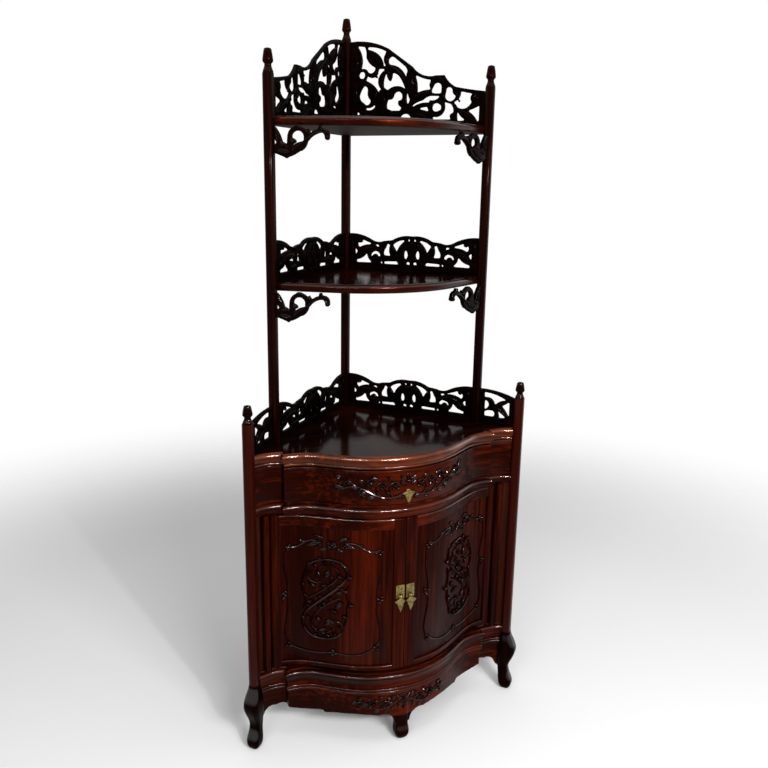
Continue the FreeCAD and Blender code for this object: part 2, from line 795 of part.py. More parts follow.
def loop(steps):
    """A closed outline of corner points and arcs, as in the mouldings."""
    closing = [] if steps[-1][-2:] == steps[0] else [steps[0]]
    return face_of(section_edges(steps + closing, lambda u, v: Vector(u, v, 0)))


def round_hole(u, v, radius):
    return [(u - radius, v), (u, v + radius, u + radius, v), (u, v - radius, u - radius, v)]


def pierced(crest, holes):
    """A gallery board from its crest line down to its housed foot, with the holes sawn out."""
    foot = -dim("gallery_housing")
    board = loop(crest + [(crest[-1][-2], foot), (crest[0][0], foot)])
    return board.cut([loop(steps) for steps in holes])


POST_FACE = 11

# Holes of the top gallery, which leave its leaves and stems standing
TOP_HOLES = [
    [(33, 210), (56, 207), (61, 192, 61, 180), (70, 165, 88, 153), (78, 140, 63, 148),
     (55, 152, 45, 150), (48, 182, 33, 210)],
    [(64, 206), (95, 202, 122, 191), (112, 173, 121, 156), (108, 160, 101, 174),
     (90, 186, 66, 197)],
    [(129, 176), (136, 179, 143, 177), (176, 152), (181, 142, 178, 124), (163, 147, 135, 159),
     (126, 167, 129, 176)],
    [(98, 150), (120, 149), (106, 139, 97, 124), (99, 106, 109, 95), (101, 83),
     (86, 106, 60, 121), (65, 133), (83, 128, 95, 139)],
    [(138, 139), (163, 125, 177, 96), (150, 105, 125, 95), (113, 103), (114, 124, 121, 140),
     (124, 126, 132, 116), (137, 126, 138, 139)],
    [(143, 80), (153, 90, 166, 70), (157, 67), (157, 57, 167, 50), (152, 31), (138, 42, 124, 47),
     (123, 60, 127, 71), (136, 71, 143, 80)],
    [(181, 85), (185, 89, 188, 83), (190, 70, 183, 57), (180, 71, 181, 85)],
    [(203, 132), (225, 122, 251, 117), (245, 105, 250, 93), (230, 92, 211, 86),
     (210, 110, 203, 132)],
    [(256, 100), (267, 109, 279, 95), (279, 84), (265, 83, 251, 86), (252, 93, 256, 100)],
    [(293, 95), (302, 97, 310, 89), (311, 82, 319, 76), (312, 65, 289, 75)],
    [(191, 49), (207, 60, 226, 66), (236, 73, 248, 77), (275, 76), (262, 67, 247, 67),
     (243, 60, 236, 57), (213, 54, 191, 49)],
    [(211, 46), (240, 50), (243, 42, 249, 36), (238, 40, 225, 43)],
    round_hole(267, 47.5, 12.5),
    round_hole(48.5, 135, 9),
    [(288, 60), (305, 56, 313, 33), (304, 25, 309, 17), (257, 18), (255, 25), (284, 32, 288, 60)],
    [(332, 86), (366, 79), (359, 70, 363, 60), (345, 44, 314, 61), (327, 68, 332, 86)],
    [(324, 39), (336, 22, 349, 14), (325, 13)],
    [(352, 38), (370, 43, 384, 50), (384, 11), (380, 11), (368, 27, 352, 38)],
    [(55, 107), (63, 104, 66, 92), (68, 78, 75, 70), (68, 59, 54, 64), (44, 72, 41, 81),
     (45, 93, 55, 107)],
    [(51, 55), (70, 50, 89, 62), (88, 52), (70, 44.5, 51, 55)],
    [(34, 43), (45, 33), (34, 33)],
    [(70, 37), (88, 32), (70, 32)],
    [(162, 22), (194, 22), (178, 33, 162, 22)],
]

# Holes in half of a low gallery
LOW_HOLES = [
    [(52, 86), (75, 77, 106, 71), (106, 64), (76, 72, 46, 63), (40, 70, 43, 79), (50, 75, 52, 86)],
    [(31, 60), (40, 52), (35, 44, 32, 36)],
    [(70, 46), (74, 31, 90, 21), (36, 20), (36, 27), (54, 33, 65, 43)],
    [(81, 39), (95, 53, 111, 40), (103, 39), (94, 46, 86, 39)],
    [(132, 76), (140, 72), (137, 57, 142, 42), (122, 43), (121, 53, 126, 62)],
    [(148, 72), (165, 83, 188, 87), (170, 72, 160, 52), (155, 63, 148, 72)],
    [(187, 60), (193, 52, 189, 35), (184, 37), (183, 50, 187, 60)],
    [(122, 25), (160, 27), (168, 19), (122, 19)],
    [(190, 20), (196, 27, 201, 20)],
    round_hole(197, 87, 3.2),
    round_hole(114, 22, 3),
]

# Holes of the short end piece on the cabinet
END_HOLES = [
    [(24, 91), (55, 87, 88, 73), (69, 69, 54, 56), (47, 72, 24, 76)],
    [(25, 64), (33, 69, 40, 61), (38, 50, 25, 42)],
    [(25, 35), (38, 40, 51, 39), (54, 30, 49, 23), (25, 23)],
    [(57, 48), (67, 40, 87, 23), (67, 21), (66, 34, 57, 48)],
    [(75, 55), (86, 64, 96, 69), (96, 23), (87, 41, 75, 55)],
]


def top_gallery_faces(length):
    end = length - POST_FACE
    crest = [(POST_FACE, 221), (62, 220, 108, 208), (126, 200), (196, 152), (222, 132, 262, 128),
             (286, 128), (298, 112, 318, 98), (350, 92, end, 85)]
    return [pierced(crest, TOP_HOLES)]


def low_gallery_faces(length):
    centre = length / 2
    crest = [(POST_FACE, 101), (50, 98, 84, 85), (100, 80, 120, 83), (146, 86), (172, 97, centre, 98.5)]
    half = pierced(crest, LOW_HOLES)
    return [half, half.mirror(Vector(centre, 0, 0), Vector(1, 0, 0))]


def end_gallery_faces(length):
    end = length - POST_FACE
    return [pierced([(POST_FACE, 101), (60, 97, end, 82)], END_HOLES)]


def wall_panel(faces, thick, start, level):
    """A flat board that stands along the right wall, its middle over the posts' axis."""
    board = fretted(faces, thick)
    board.rotate(Vector(), Vector(1, 0, 0), 90)
    board.translate(Vector(start, 0, level))
    board.rotate(Vector(), UP, -45)
    return board


def make_galleries(posts):
    shelf_run = dim("shelf_post_reach") / DIAGONAL
    end_run = dim("front_post_reach") / DIAGONAL - shelf_run
    thick, base = dim("gallery_thick"), dim("shelf_thick")
    runs = [
        ("top_gallery", top_gallery_faces(shelf_run), 0, dim("top_shelf_bottom") + base),
        ("middle_gallery", low_gallery_faces(shelf_run), 0, dim("middle_shelf_bottom") + base),
        ("base_gallery", low_gallery_faces(shelf_run), 0, dim("top_level")),
        ("base_gallery_end", end_gallery_faces(end_run), shelf_run, dim("top_level")),
    ]
    fixed = [in_plan(posts[name]) for name in ("rear", "side", "front")]
    for name, faces, start, level in runs:
        board = wall_panel(faces, thick, start, level).cut(fixed)
        right = shaped(f"{name}_right", board)
        doc.recompute()
        mirrored(right, f"{name}_left")


# Bracket under a shelf: along from the post, up to the shelf's underside
BRACKET_TURN = 208.5
BRACKET_OUTLINE = [(-8, -47), (-8, -61), (8, -66, 26, -73), (30, -76), (34, -72),
                   (58, -61, 78, -41), (96, -22, 108, -15), (116, -17, 121, -26)]


def bracket_faces():
    body = section_edges(BRACKET_OUTLINE, lambda s, h: Vector(s, h, 0))
    back = [(121, -26), (133, -25), (128, -11, 112, -7), (96, -11, 86, -18), (74, -20),
            (66, -42, 50, -46), (30, -47), (10, -41, -8, -47)]
    body += section_edges(back, lambda s, h: Vector(s, h, 0))
    return [
        face_of(body),
        knob((127, -27), 6.2),
        plate(106, 114, -12, 0),
        leaf((22, -52), (2, -2), 16, 3),
        leaf((12, -44), (30, -44), 12),
        stem((38, -30), (56, -7), (76, -32), 11),
        stem((76, -30), (73, -44), (62, -54), 10),
        stem((38, -28), (37, -40), (48, -50), 10),
        leaf((36, -32), (54, -38), 12),
        plate(50, 62, -7, 0),
        leaf((80, -28), (82, -7), 11),
    ]


def make_brackets(posts):
    reach = dim("shelf_post_reach")
    flat = fretted(bracket_faces(), dim("bracket_thick"))
    flat.rotate(Vector(), Vector(1, 0, 0), 90)
    flat.translate(Vector(dim("upper_post_size") / 2, 0, 0))
    flat.rotate(Vector(), UP, BRACKET_TURN)
    for name, level in (("middle", "middle_shelf_bottom"), ("top", "top_shelf_bottom")):
        hung = flat.translated(Vector(reach, -reach, dim(level)))
        right = shaped(f"{name}_bracket_right", hung.cut(in_plan(posts["side"])))
        doc.recompute()
        mirrored(right, f"{name}_bracket_left")


# Doors

pivot_x = dim("door_span")
pivot_y = dim("door_rise") - dim("door_depth") + dim("door_thick") / 2


def door_pivots(radius):
    """Round pivots above and below the right door's hinge stile."""
    length = dim("pivot_length")
    foot_end = Vector(pivot_x, pivot_y, dim("door_bottom") - length)
    head_end = Vector(pivot_x, pivot_y, dim("door_top"))
    return [Part.makeCylinder(radius, length, foot_end), Part.makeCylinder(radius, length, head_end)]


def door_section(steps):
    """A closed outline of (inset, height) steps, carried along the right door."""
    drawn = section_edges(steps + steps[:1], lambda inset, z: Vector(0, inset - door.depth, z))
    return door.swept(face_of(drawn), pivot_x).removeSplitter()


def rounded_leaf(thick, low, high):
    """The whole right leaf, with rounded upper and lower front edges."""
    radius = dim("door_edge_round")
    cheek = radius * (1 - DIAGONAL)
    return door_section([(thick, low), (radius, low), (cheek, low + cheek, 0, low + radius),
                         (0, high - radius), (cheek, high - cheek, radius, high), (thick, high)])


def rail_rounding(level, up):
    """What is planed off a rail's front edge at the opening; up is the way to the opening."""
    radius = dim("rail_round")
    cheek, spare = radius * (1 - DIAGONAL), 1
    rail_side, open_side = level - up * radius, level + up * spare
    return door_section([(-spare, rail_side), (0, rail_side), (cheek, level - up * cheek, radius, level),
                         (radius, open_side), (-spare, open_side)])


def make_right_door():
    thick, gap = dim("door_thick"), dim("door_gap")
    low, high = dim("door_bottom"), dim("door_top")
    sill, head = low + dim("bottom_rail"), high - dim("top_rail")
    slot = dim("tongue_depth")
    meeting, hinge = dim("meeting_stile") + gap, pivot_x + thick / 2 - dim("hinge_stile")
    leaf_board = rounded_leaf(thick, low, high)
    rounded = Part.makeCylinder(thick / 2, high - low, Vector(pivot_x, pivot_y, low))
    leaf_board = leaf_board.fuse(rounded)
    cell = lambda x, z: box(x, (-FAR, 0), z)
    panel_x, panel_z = (meeting, hinge), (sill, head)
    panel = strip(door, (dim("panel_recess"), dim("panel_back")), pivot_x, (low, high))
    panel = panel.common(cell(panel_x, panel_z))
    tongue = strip(door, (dim("tongue_front"), dim("tongue_back")), pivot_x, (low, high))
    tongue = tongue.common(cell((meeting - slot, hinge + slot), (sill - slot, head + slot)))
    panel = panel.fuse(tongue)
    stiles = {
        "meeting_stile": leaf_board.common(cell((gap, meeting), (low, high))),
        "hinge_stile": leaf_board.common(cell((hinge, FAR), (low, high))).fuse(
            door_pivots(dim("pivot_radius"))),
    }
    pieces = {"panel": panel}
    for name, shape in stiles.items():
        pieces[name] = shape.cut(panel)
    ends = [leaf_board.common(cell(panel_x, (low, sill))).cut([panel, rail_rounding(sill, 1)]),
            leaf_board.common(cell(panel_x, (head, high))).cut([panel, rail_rounding(head, -1)])]
    pieces["rails"] = Part.makeCompound([end.removeSplitter() for end in ends])
    made = {}
    for name, shape in pieces.items():
        made[name] = shaped(f"door_{name}_right", shape)
    doc.recompute()
    for name, piece in made.items():
        mirrored(piece, f"door_{name}_left")


# Drawer

def make_drawer():
    inset, thick = dim("drawer_front_inset"), dim("drawer_front_thick")
    end = dim("drawer_front_end")
    heights = (dim("drawer_front_bottom"), dim("drawer_front_top"))
    half = strip(front, (inset, inset + thick), wing_x, heights)
    half = half.common(box((0, end), (-FAR, FAR), heights))
    face = both_halves(half)
    shaped("drawer_front", face)
    width, side = dim("drawer_half_width"), dim("drawer_side_thick")
    back, back_thick = dim("drawer_back_depth"), dim("drawer_back_thick")
    low, high = dim("drawer_side_bottom"), dim("drawer_side_top")
    level, board = dim("drawer_bottom_level"), dim("drawer_bottom_thick")
    groove = side / 2
    rear_groove = -back - back_thick / 2
    bottom = box((groove - width, width - groove), (-front.depth, rear_groove), (level, level + board))
    bottom = bottom.cut(solid_in_front(inset + thick, (level, level + board)))
    flank = box((width - side, width), (-front.depth, -back), (low, high))
    flank = flank.cut(solid_in_front(inset + thick, (low, high))).cut(bottom)
    right = shaped("drawer_side_right", flank)
    rear = box((side - width, width - side), (-back - back_thick, -back), (low, high))
    shaped("drawer_back", rear.cut(bottom))
    shaped("drawer_bottom", bottom)
    doc.recompute()
    mirrored(right, "drawer_side_left")


def solid_in_front(inset, heights):
    """All that lies in front of the main bow at an inset."""
    line = front.edges(inset, wing_x)
    corners = [end_of(line), Vector(wing_x, -FAR, 0), Vector(0, -FAR, 0), end_of(line, False)]
    sides = [Part.LineSegment(a, b).toShape() for a, b in zip(corners, corners[1:])]
    return both_halves(slab(face_of(line + sides), *heights))


def make_runners():
    width, lap = dim("drawer_half_width"), dim("runner_lap")
    low, top = dim("drawer_board_top"), dim("drawer_side_bottom") - dim("runner_clearance")
    guide = width + dim("runner_clearance")
    outer, high = guide + dim("runner_guide_thick"), dim("runner_guide_top")
    y = (-dim("runner_front"), -dim("runner_back"))
    pair = [box((width - lap, outer), y, (low, top)), box((guide, outer), y, (top, high))]
    pair += [solid.mirror(Vector(), Vector(1, 0, 0)) for solid in pair]
    shaped("drawer_runners", Part.makeCompound(pair))


# Brass drop pulls, drawn with the outward side towards +Y and scaled to each place

PULL_PIN_LEVEL, PULL_PIN_OUT, PULL_PIN_RADIUS = -11, 5.2, 1.2
PLATE_HALF_WIDTH, PLATE_HALF_HEIGHT, PLATE_THICK, PLATE_CORNER = 11.5, 19, 1.8, 2.5
EYE_REACH, EYE_LENGTH, EYE_RADIUS = 6.2, 2.7, 2.8
DROP_THICK, DROP_EYE_LENGTH, DROP_EYE_RADIUS, DROP_BORE = 2.8, 6.2, 2.6, 1.25
PULL_OUTLINE = [(2.4, -11), (2.7, -15.5), (5.5, -20.5, 13, -22), (10, -25), (7.5, -34, 0, -48)]


def pull_plate():
    wide, tall = PLATE_HALF_WIDTH, PLATE_HALF_HEIGHT
    board = box((-wide, wide), (0, PLATE_THICK), (-tall, tall))
    corners = [edge for edge in board.Edges if abs(edge.tangentAt(edge.FirstParameter).y) > 0.99]
    board = board.makeFillet(PLATE_CORNER, corners)
    centre = Vector(0, PULL_PIN_OUT, PULL_PIN_LEVEL)
    along = Vector(1, 0, 0)
    pieces = []
    span = (PULL_PIN_LEVEL - EYE_RADIUS, PULL_PIN_LEVEL + EYE_RADIUS)
    for x in (-EYE_REACH, EYE_REACH - EYE_LENGTH):
        eye = Part.makeCylinder(EYE_RADIUS, EYE_LENGTH, centre + along * x, along)
        neck = box((x, x + EYE_LENGTH), (PLATE_THICK / 2, PULL_PIN_OUT), span)
        pieces += [eye, neck]
    pieces.append(Part.makeCylinder(PULL_PIN_RADIUS, 2 * EYE_REACH, centre - along * EYE_REACH, along))
    return board.fuse(pieces)


def pull_drop():
    centre = Vector(-DROP_EYE_LENGTH / 2, PULL_PIN_OUT, PULL_PIN_LEVEL)
    along = Vector(1, 0, 0)
    inner = PULL_PIN_OUT - DROP_THICK / 2
    outline = section_edges(PULL_OUTLINE, lambda x, z: Vector(x, inner, z))
    outline += section_edges(PULL_OUTLINE, lambda x, z: Vector(-x, inner, z))
    x, z = PULL_OUTLINE[0]
    outline.append(Part.LineSegment(Vector(-x, inner, z), Vector(x, inner, z)).toShape())
    body = face_of(outline).extrude(Vector(0, DROP_THICK, 0))
    eye = Part.makeCylinder(DROP_EYE_RADIUS, DROP_EYE_LENGTH, centre, along)
    return body.fuse(eye).cut(Part.makeCylinder(DROP_BORE, DROP_EYE_LENGTH, centre, along))


def placed_pull(shape, scale, place, turn):
    sized = shape.scaled(scale).removeSplitter()
    sized.rotate(Vector(), UP, 180 + turn)
    return sized.translated(place)


DOOR_PULL_X, DOOR_PULL_LEVEL, DOOR_PULL_SCALE = 14, 441, 1.0
DRAWER_PULL_LEVEL, DRAWER_PULL_SCALE = 728, 0.72


def make_pulls():
    middle = Vector(0, inset_depth(), DRAWER_PULL_LEVEL)
    shaped("drawer_pull_plate", placed_pull(pull_plate(), DRAWER_PULL_SCALE, middle, 0))
    shaped("drawer_pull_drop", placed_pull(pull_drop(), DRAWER_PULL_SCALE, middle, 0))
    lean = math.asin(DOOR_PULL_X / door.bow)
    on_door = door.bow_centre + Vector(math.sin(lean), -math.cos(lean), 0) * door.bow
    on_door.z = DOOR_PULL_LEVEL
    for name, shape in (("plate", pull_plate()), ("drop", pull_drop())):
        sized = placed_pull(shape, DOOR_PULL_SCALE, on_door, math.degrees(lean))
        right = shaped(f"door_pull_{name}_right", sized)
        doc.recompute()
        mirrored(right, f"door_pull_{name}_left")


def inset_depth():
    return dim("drawer_front_inset") - front.depth


posts = make_posts()
make_finials()
feet = make_feet()
make_mouldings(posts, feet)
make_boards(posts)
make_back_panels(feet)
make_friezes(posts)
make_jambs(posts)
make_apron(feet)
make_shelves(posts)
make_galleries(posts)
make_brackets(posts)
make_right_door()
make_drawer()
make_runners()
make_pulls()
doc.recompute()

for piece in doc.Objects:
    if {"Invalid", "Error"} & set(piece.State):
        raise RuntimeError(f"{piece.Label} did not build: {piece.State}")
for piece in subparts:
    if piece.Shape.isNull() or not piece.Shape.isValid() or not piece.Shape.Solids:
        raise RuntimeError(f"{piece.Label} has no valid solid")

os.makedirs("parts", exist_ok=True)
for piece in subparts:
    piece.Shape.exportStep(f"parts/{piece.Label}.step")
print(f"{len(subparts)} sub-parts written")
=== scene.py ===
import math
import bpy
from mathutils import Matrix, Vector


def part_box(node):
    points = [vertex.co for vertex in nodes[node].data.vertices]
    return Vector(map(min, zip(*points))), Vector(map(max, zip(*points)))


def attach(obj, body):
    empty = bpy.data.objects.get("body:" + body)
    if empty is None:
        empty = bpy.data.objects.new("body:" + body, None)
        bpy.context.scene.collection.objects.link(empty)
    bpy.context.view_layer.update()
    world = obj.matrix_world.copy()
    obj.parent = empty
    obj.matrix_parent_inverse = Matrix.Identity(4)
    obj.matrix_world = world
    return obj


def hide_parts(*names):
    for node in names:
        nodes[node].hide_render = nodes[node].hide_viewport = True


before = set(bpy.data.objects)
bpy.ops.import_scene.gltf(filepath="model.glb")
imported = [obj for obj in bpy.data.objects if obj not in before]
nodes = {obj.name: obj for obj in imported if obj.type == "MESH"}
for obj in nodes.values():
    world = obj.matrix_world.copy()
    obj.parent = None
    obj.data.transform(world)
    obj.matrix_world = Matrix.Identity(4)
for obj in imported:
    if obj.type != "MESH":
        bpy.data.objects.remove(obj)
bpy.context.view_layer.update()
millimetre = 0.001
weldReach = 0.00002      # corners of loose triangles this near are one corner
rearLegHalf = 0.0137
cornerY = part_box("rear_leg")[1].y - rearLegHalf    # the rear post's axis, where both walls meet
print("frame loaded:", len(nodes), "nodes")


# Helpers: select, join, apply a modifier, shade, turn faces outward, move corners

def deselectAll():
    if bpy.context.object and bpy.context.object.mode != "OBJECT":
        bpy.ops.object.mode_set(mode="OBJECT")
    bpy.ops.object.select_all(action="DESELECT")


def pick(*pieces):
    deselectAll()
    for piece in pieces:
        piece.select_set(True)
    bpy.context.view_layer.objects.active = pieces[0]
    return pieces[0]


def joinPieces(pieces, name):
    joined = pick(*pieces)
    bpy.ops.object.join()
    joined.name = name
    joined.data.name = name
    return joined


def applyModifier(piece, kind, **settings):
    pick(piece)
    modifier = piece.modifiers.new(kind.lower(), kind)
    for key, value in settings.items():
        setattr(modifier, key, value)
    bpy.ops.object.modifier_apply(modifier=modifier.name)


def smooth(piece, degrees=40):
    pick(piece)
    bpy.ops.object.shade_smooth_by_angle(angle=math.radians(degrees))


def outward(piece):
    pick(piece)
    bpy.ops.object.mode_set(mode="EDIT")
    bpy.ops.mesh.select_all(action="SELECT")
    bpy.ops.mesh.normals_make_consistent(inside=False)
    bpy.ops.object.mode_set(mode="OBJECT")


def moveEach(piece, place):
    for vertex in piece.data.vertices:
        vertex.co = place(vertex.co)
    piece.data.update()


# Shader trees: a socket that does arithmetic, and one way to add any other node

class Wire:
    def __init__(self, tree, socket):
        self.tree, self.socket = tree, socket

    def sum(self, operation, first, second):
        return self.tree.add("Math", {"operation": operation}, {0: first, 1: second})

    def __add__(self, other):
        return self.sum("ADD", self, other)

    def __radd__(self, other):
        return self.sum("ADD", other, self)

    def __sub__(self, other):
        return self.sum("SUBTRACT", self, other)

    def __rsub__(self, other):
        return self.sum("SUBTRACT", other, self)

    def __mul__(self, other):
        return self.sum("MULTIPLY", self, other)

    def __rmul__(self, other):
        return self.sum("MULTIPLY", other, self)


class Tree:
    def __init__(self, owner):
        owner.use_nodes = True
        self.kind = type(owner).__name__      # Material or World
        self.owner = owner.node_tree
        self.owner.nodes.clear()

    def add(self, kind, settings=None, inputs=None, output=0):
        node = self.owner.nodes.new("ShaderNode" + kind)
        for key, value in (settings or {}).items():
            if key == "stops":
                self.setStops(node.color_ramp, value)
            else:
                setattr(node, key, value)
        for key, value in (inputs or {}).items():
            self.feed(node.inputs[key], value)
        return Wire(self, node.outputs[output]) if len(node.outputs) else node

    def feed(self, socket, value):
        if isinstance(value, Wire):
            self.owner.links.new(value.socket, socket)
        elif isinstance(value, tuple) and socket.type == "RGBA":
            socket.default_value = (*value[:3], 1)
        else:
            socket.default_value = value

    def setStops(self, ramp, stops):
        while len(ramp.elements) < len(stops):
            ramp.elements.new(1)
        for element, (position, colour) in zip(ramp.elements, stops):
            element.position = position
            element.color = (*colour, 1)

    def ranged(self, value, low, high, curve="LINEAR"):     # 0 at low, 1 at high
        return self.add("MapRange", {"interpolation_type": curve}, {0: value, 1: low, 2: high})

    def mixed(self, share, first, second):
        return self.add("Mix", {"data_type": "RGBA"}, {0: share, 6: first, 7: second}, 2)

    def finish(self, surface):
        self.add("Output" + self.kind, None, {"Surface": surface})


# Camera at the photograph's view

cameraView = {
    "place": (-0.7587, -1.9649, 1.4617),
    "yaw": 21.871,        # degrees to the right of +Y
    "pitch": 13.984,      # degrees below level
    "roll": 0.929,
    "lens": 37.28,
    "sensor": 36,
}


def makeCamera(view):
    yaw, pitch, roll = (math.radians(view[key]) for key in ("yaw", "pitch", "roll"))
    level = math.cos(pitch)
    ahead = Vector((math.sin(yaw) * level, math.cos(yaw) * level, -math.sin(pitch)))
    right = Vector((math.cos(yaw), -math.sin(yaw), 0))
    up = right.cross(ahead)
    sideways = right * math.cos(roll) + up * math.sin(roll)
    upwards = up * math.cos(roll) - right * math.sin(roll)
    turn = Matrix((sideways, upwards, -ahead)).transposed().to_4x4()
    data = bpy.data.cameras.new("photoCamera")
    data.lens, data.sensor_width = view["lens"], view["sensor"]
    camera = bpy.data.objects.new("photoCamera", data)
    camera.matrix_world = Matrix.Translation(view["place"]) @ turn
    bpy.context.scene.collection.objects.link(camera)
    bpy.context.scene.camera = camera


makeCamera(cameraView)
print("camera placed")


# Studio: pale floor, white surroundings and soft lamps

studio = {
    "floorRadius": 3.2,
    "floorSides": 64,
    "floorFade": (1.3, 3.0),      # the floor melts into the background between these distances
    "floorColour": (0.94, 0.94, 0.94),
    "ambient": 0.3,               # light from the surroundings on matt surfaces
    "lamps": [
        {"name": "frontStrip", "place": (0.34, -3.1, 2.1), "aim": (0, 0, 0.8),
         "size": (0.05, 1.2), "watts": 16},
        {"name": "frontBar", "place": (0.34, -3.1, 2.3), "aim": (0, 0, 0.8),
         "size": (1.6, 0.03), "watts": 76},
        {"name": "frontSpark", "place": (0.34, -3.1, 2.2), "aim": (0, 0, 0.8),
         "size": (0.14, 0.14), "watts": 12},
        {"name": "leftBar", "place": (-1.9, -2.6, 2.3), "aim": (0, 0, 0.8),
         "size": (1.5, 0.03), "watts": 30},
        {"name": "rightWall", "place": (2.6, -0.2, 1.0), "aim": (0, 0, 0.6),
         "size": (1.5, 1.7), "watts": 5},
        {"name": "topSoft", "place": (0.1, -0.3, 3.6), "aim": (0, 0, 0),
         "size": (1.6, 1.6), "watts": 22},
    ],
}


def makeFloor():
    deselectAll()
    bpy.ops.mesh.primitive_circle_add(
        vertices=studio["floorSides"], radius=studio["floorRadius"], fill_type="NGON")
    floor = bpy.context.object
    floor.name = "studioFloor"
    material = bpy.data.materials.new("paleFloor")
    tree = Tree(material)
    spot = tree.add("TexCoord", None, None, "Object")
    distance = tree.add("VectorMath", {"operation": "LENGTH"}, {0: spot}, "Value")
    near, far = studio["floorFade"]
    fade = tree.ranged(distance, near, far, "SMOOTHSTEP")
    paint = tree.add("BsdfDiffuse", None, {"Color": studio["floorColour"]})
    clear = tree.add("BsdfTransparent")
    tree.finish(tree.add("MixShader", None, {0: fade, 1: paint, 2: clear}))
    floor.data.materials.append(material)


def makeWorld():
    world = bpy.data.worlds.new("whiteSurroundings")
    bpy.context.scene.world = world
    tree = Tree(world)
    seen = tree.add("LightPath", None, None, "Is Camera Ray")
    glossy = tree.add("LightPath", None, None, "Is Glossy Ray")
    through = tree.add("LightPath", None, None, "Is Transmission Ray")
    clamped = {"operation": "ADD", "use_clamp": True}
    shown = tree.add("Math", clamped, {0: seen + glossy, 1: through})
    ambient = studio["ambient"]
    strength = ambient + (1 - ambient) * shown
    tree.finish(tree.add("Background", None, {"Color": (1, 1, 1), "Strength": strength}))


def makeLamps():
    for look in studio["lamps"]:
        data = bpy.data.lights.new(look["name"], "AREA")
        data.shape = "RECTANGLE"
        data.size, data.size_y = look["size"]
        data.energy = look["watts"]
        lamp = bpy.data.objects.new(look["name"], data)
        aim = Vector(look["aim"]) - Vector(look["place"])
        lamp.rotation_euler = aim.to_track_quat("-Z", "Y").to_euler()
        lamp.location = look["place"]
        bpy.context.scene.collection.objects.link(lamp)


makeFloor()
makeWorld()
makeLamps()
bpy.context.scene.view_settings.view_transform = "Standard"
print("studio lit")


# Finishes

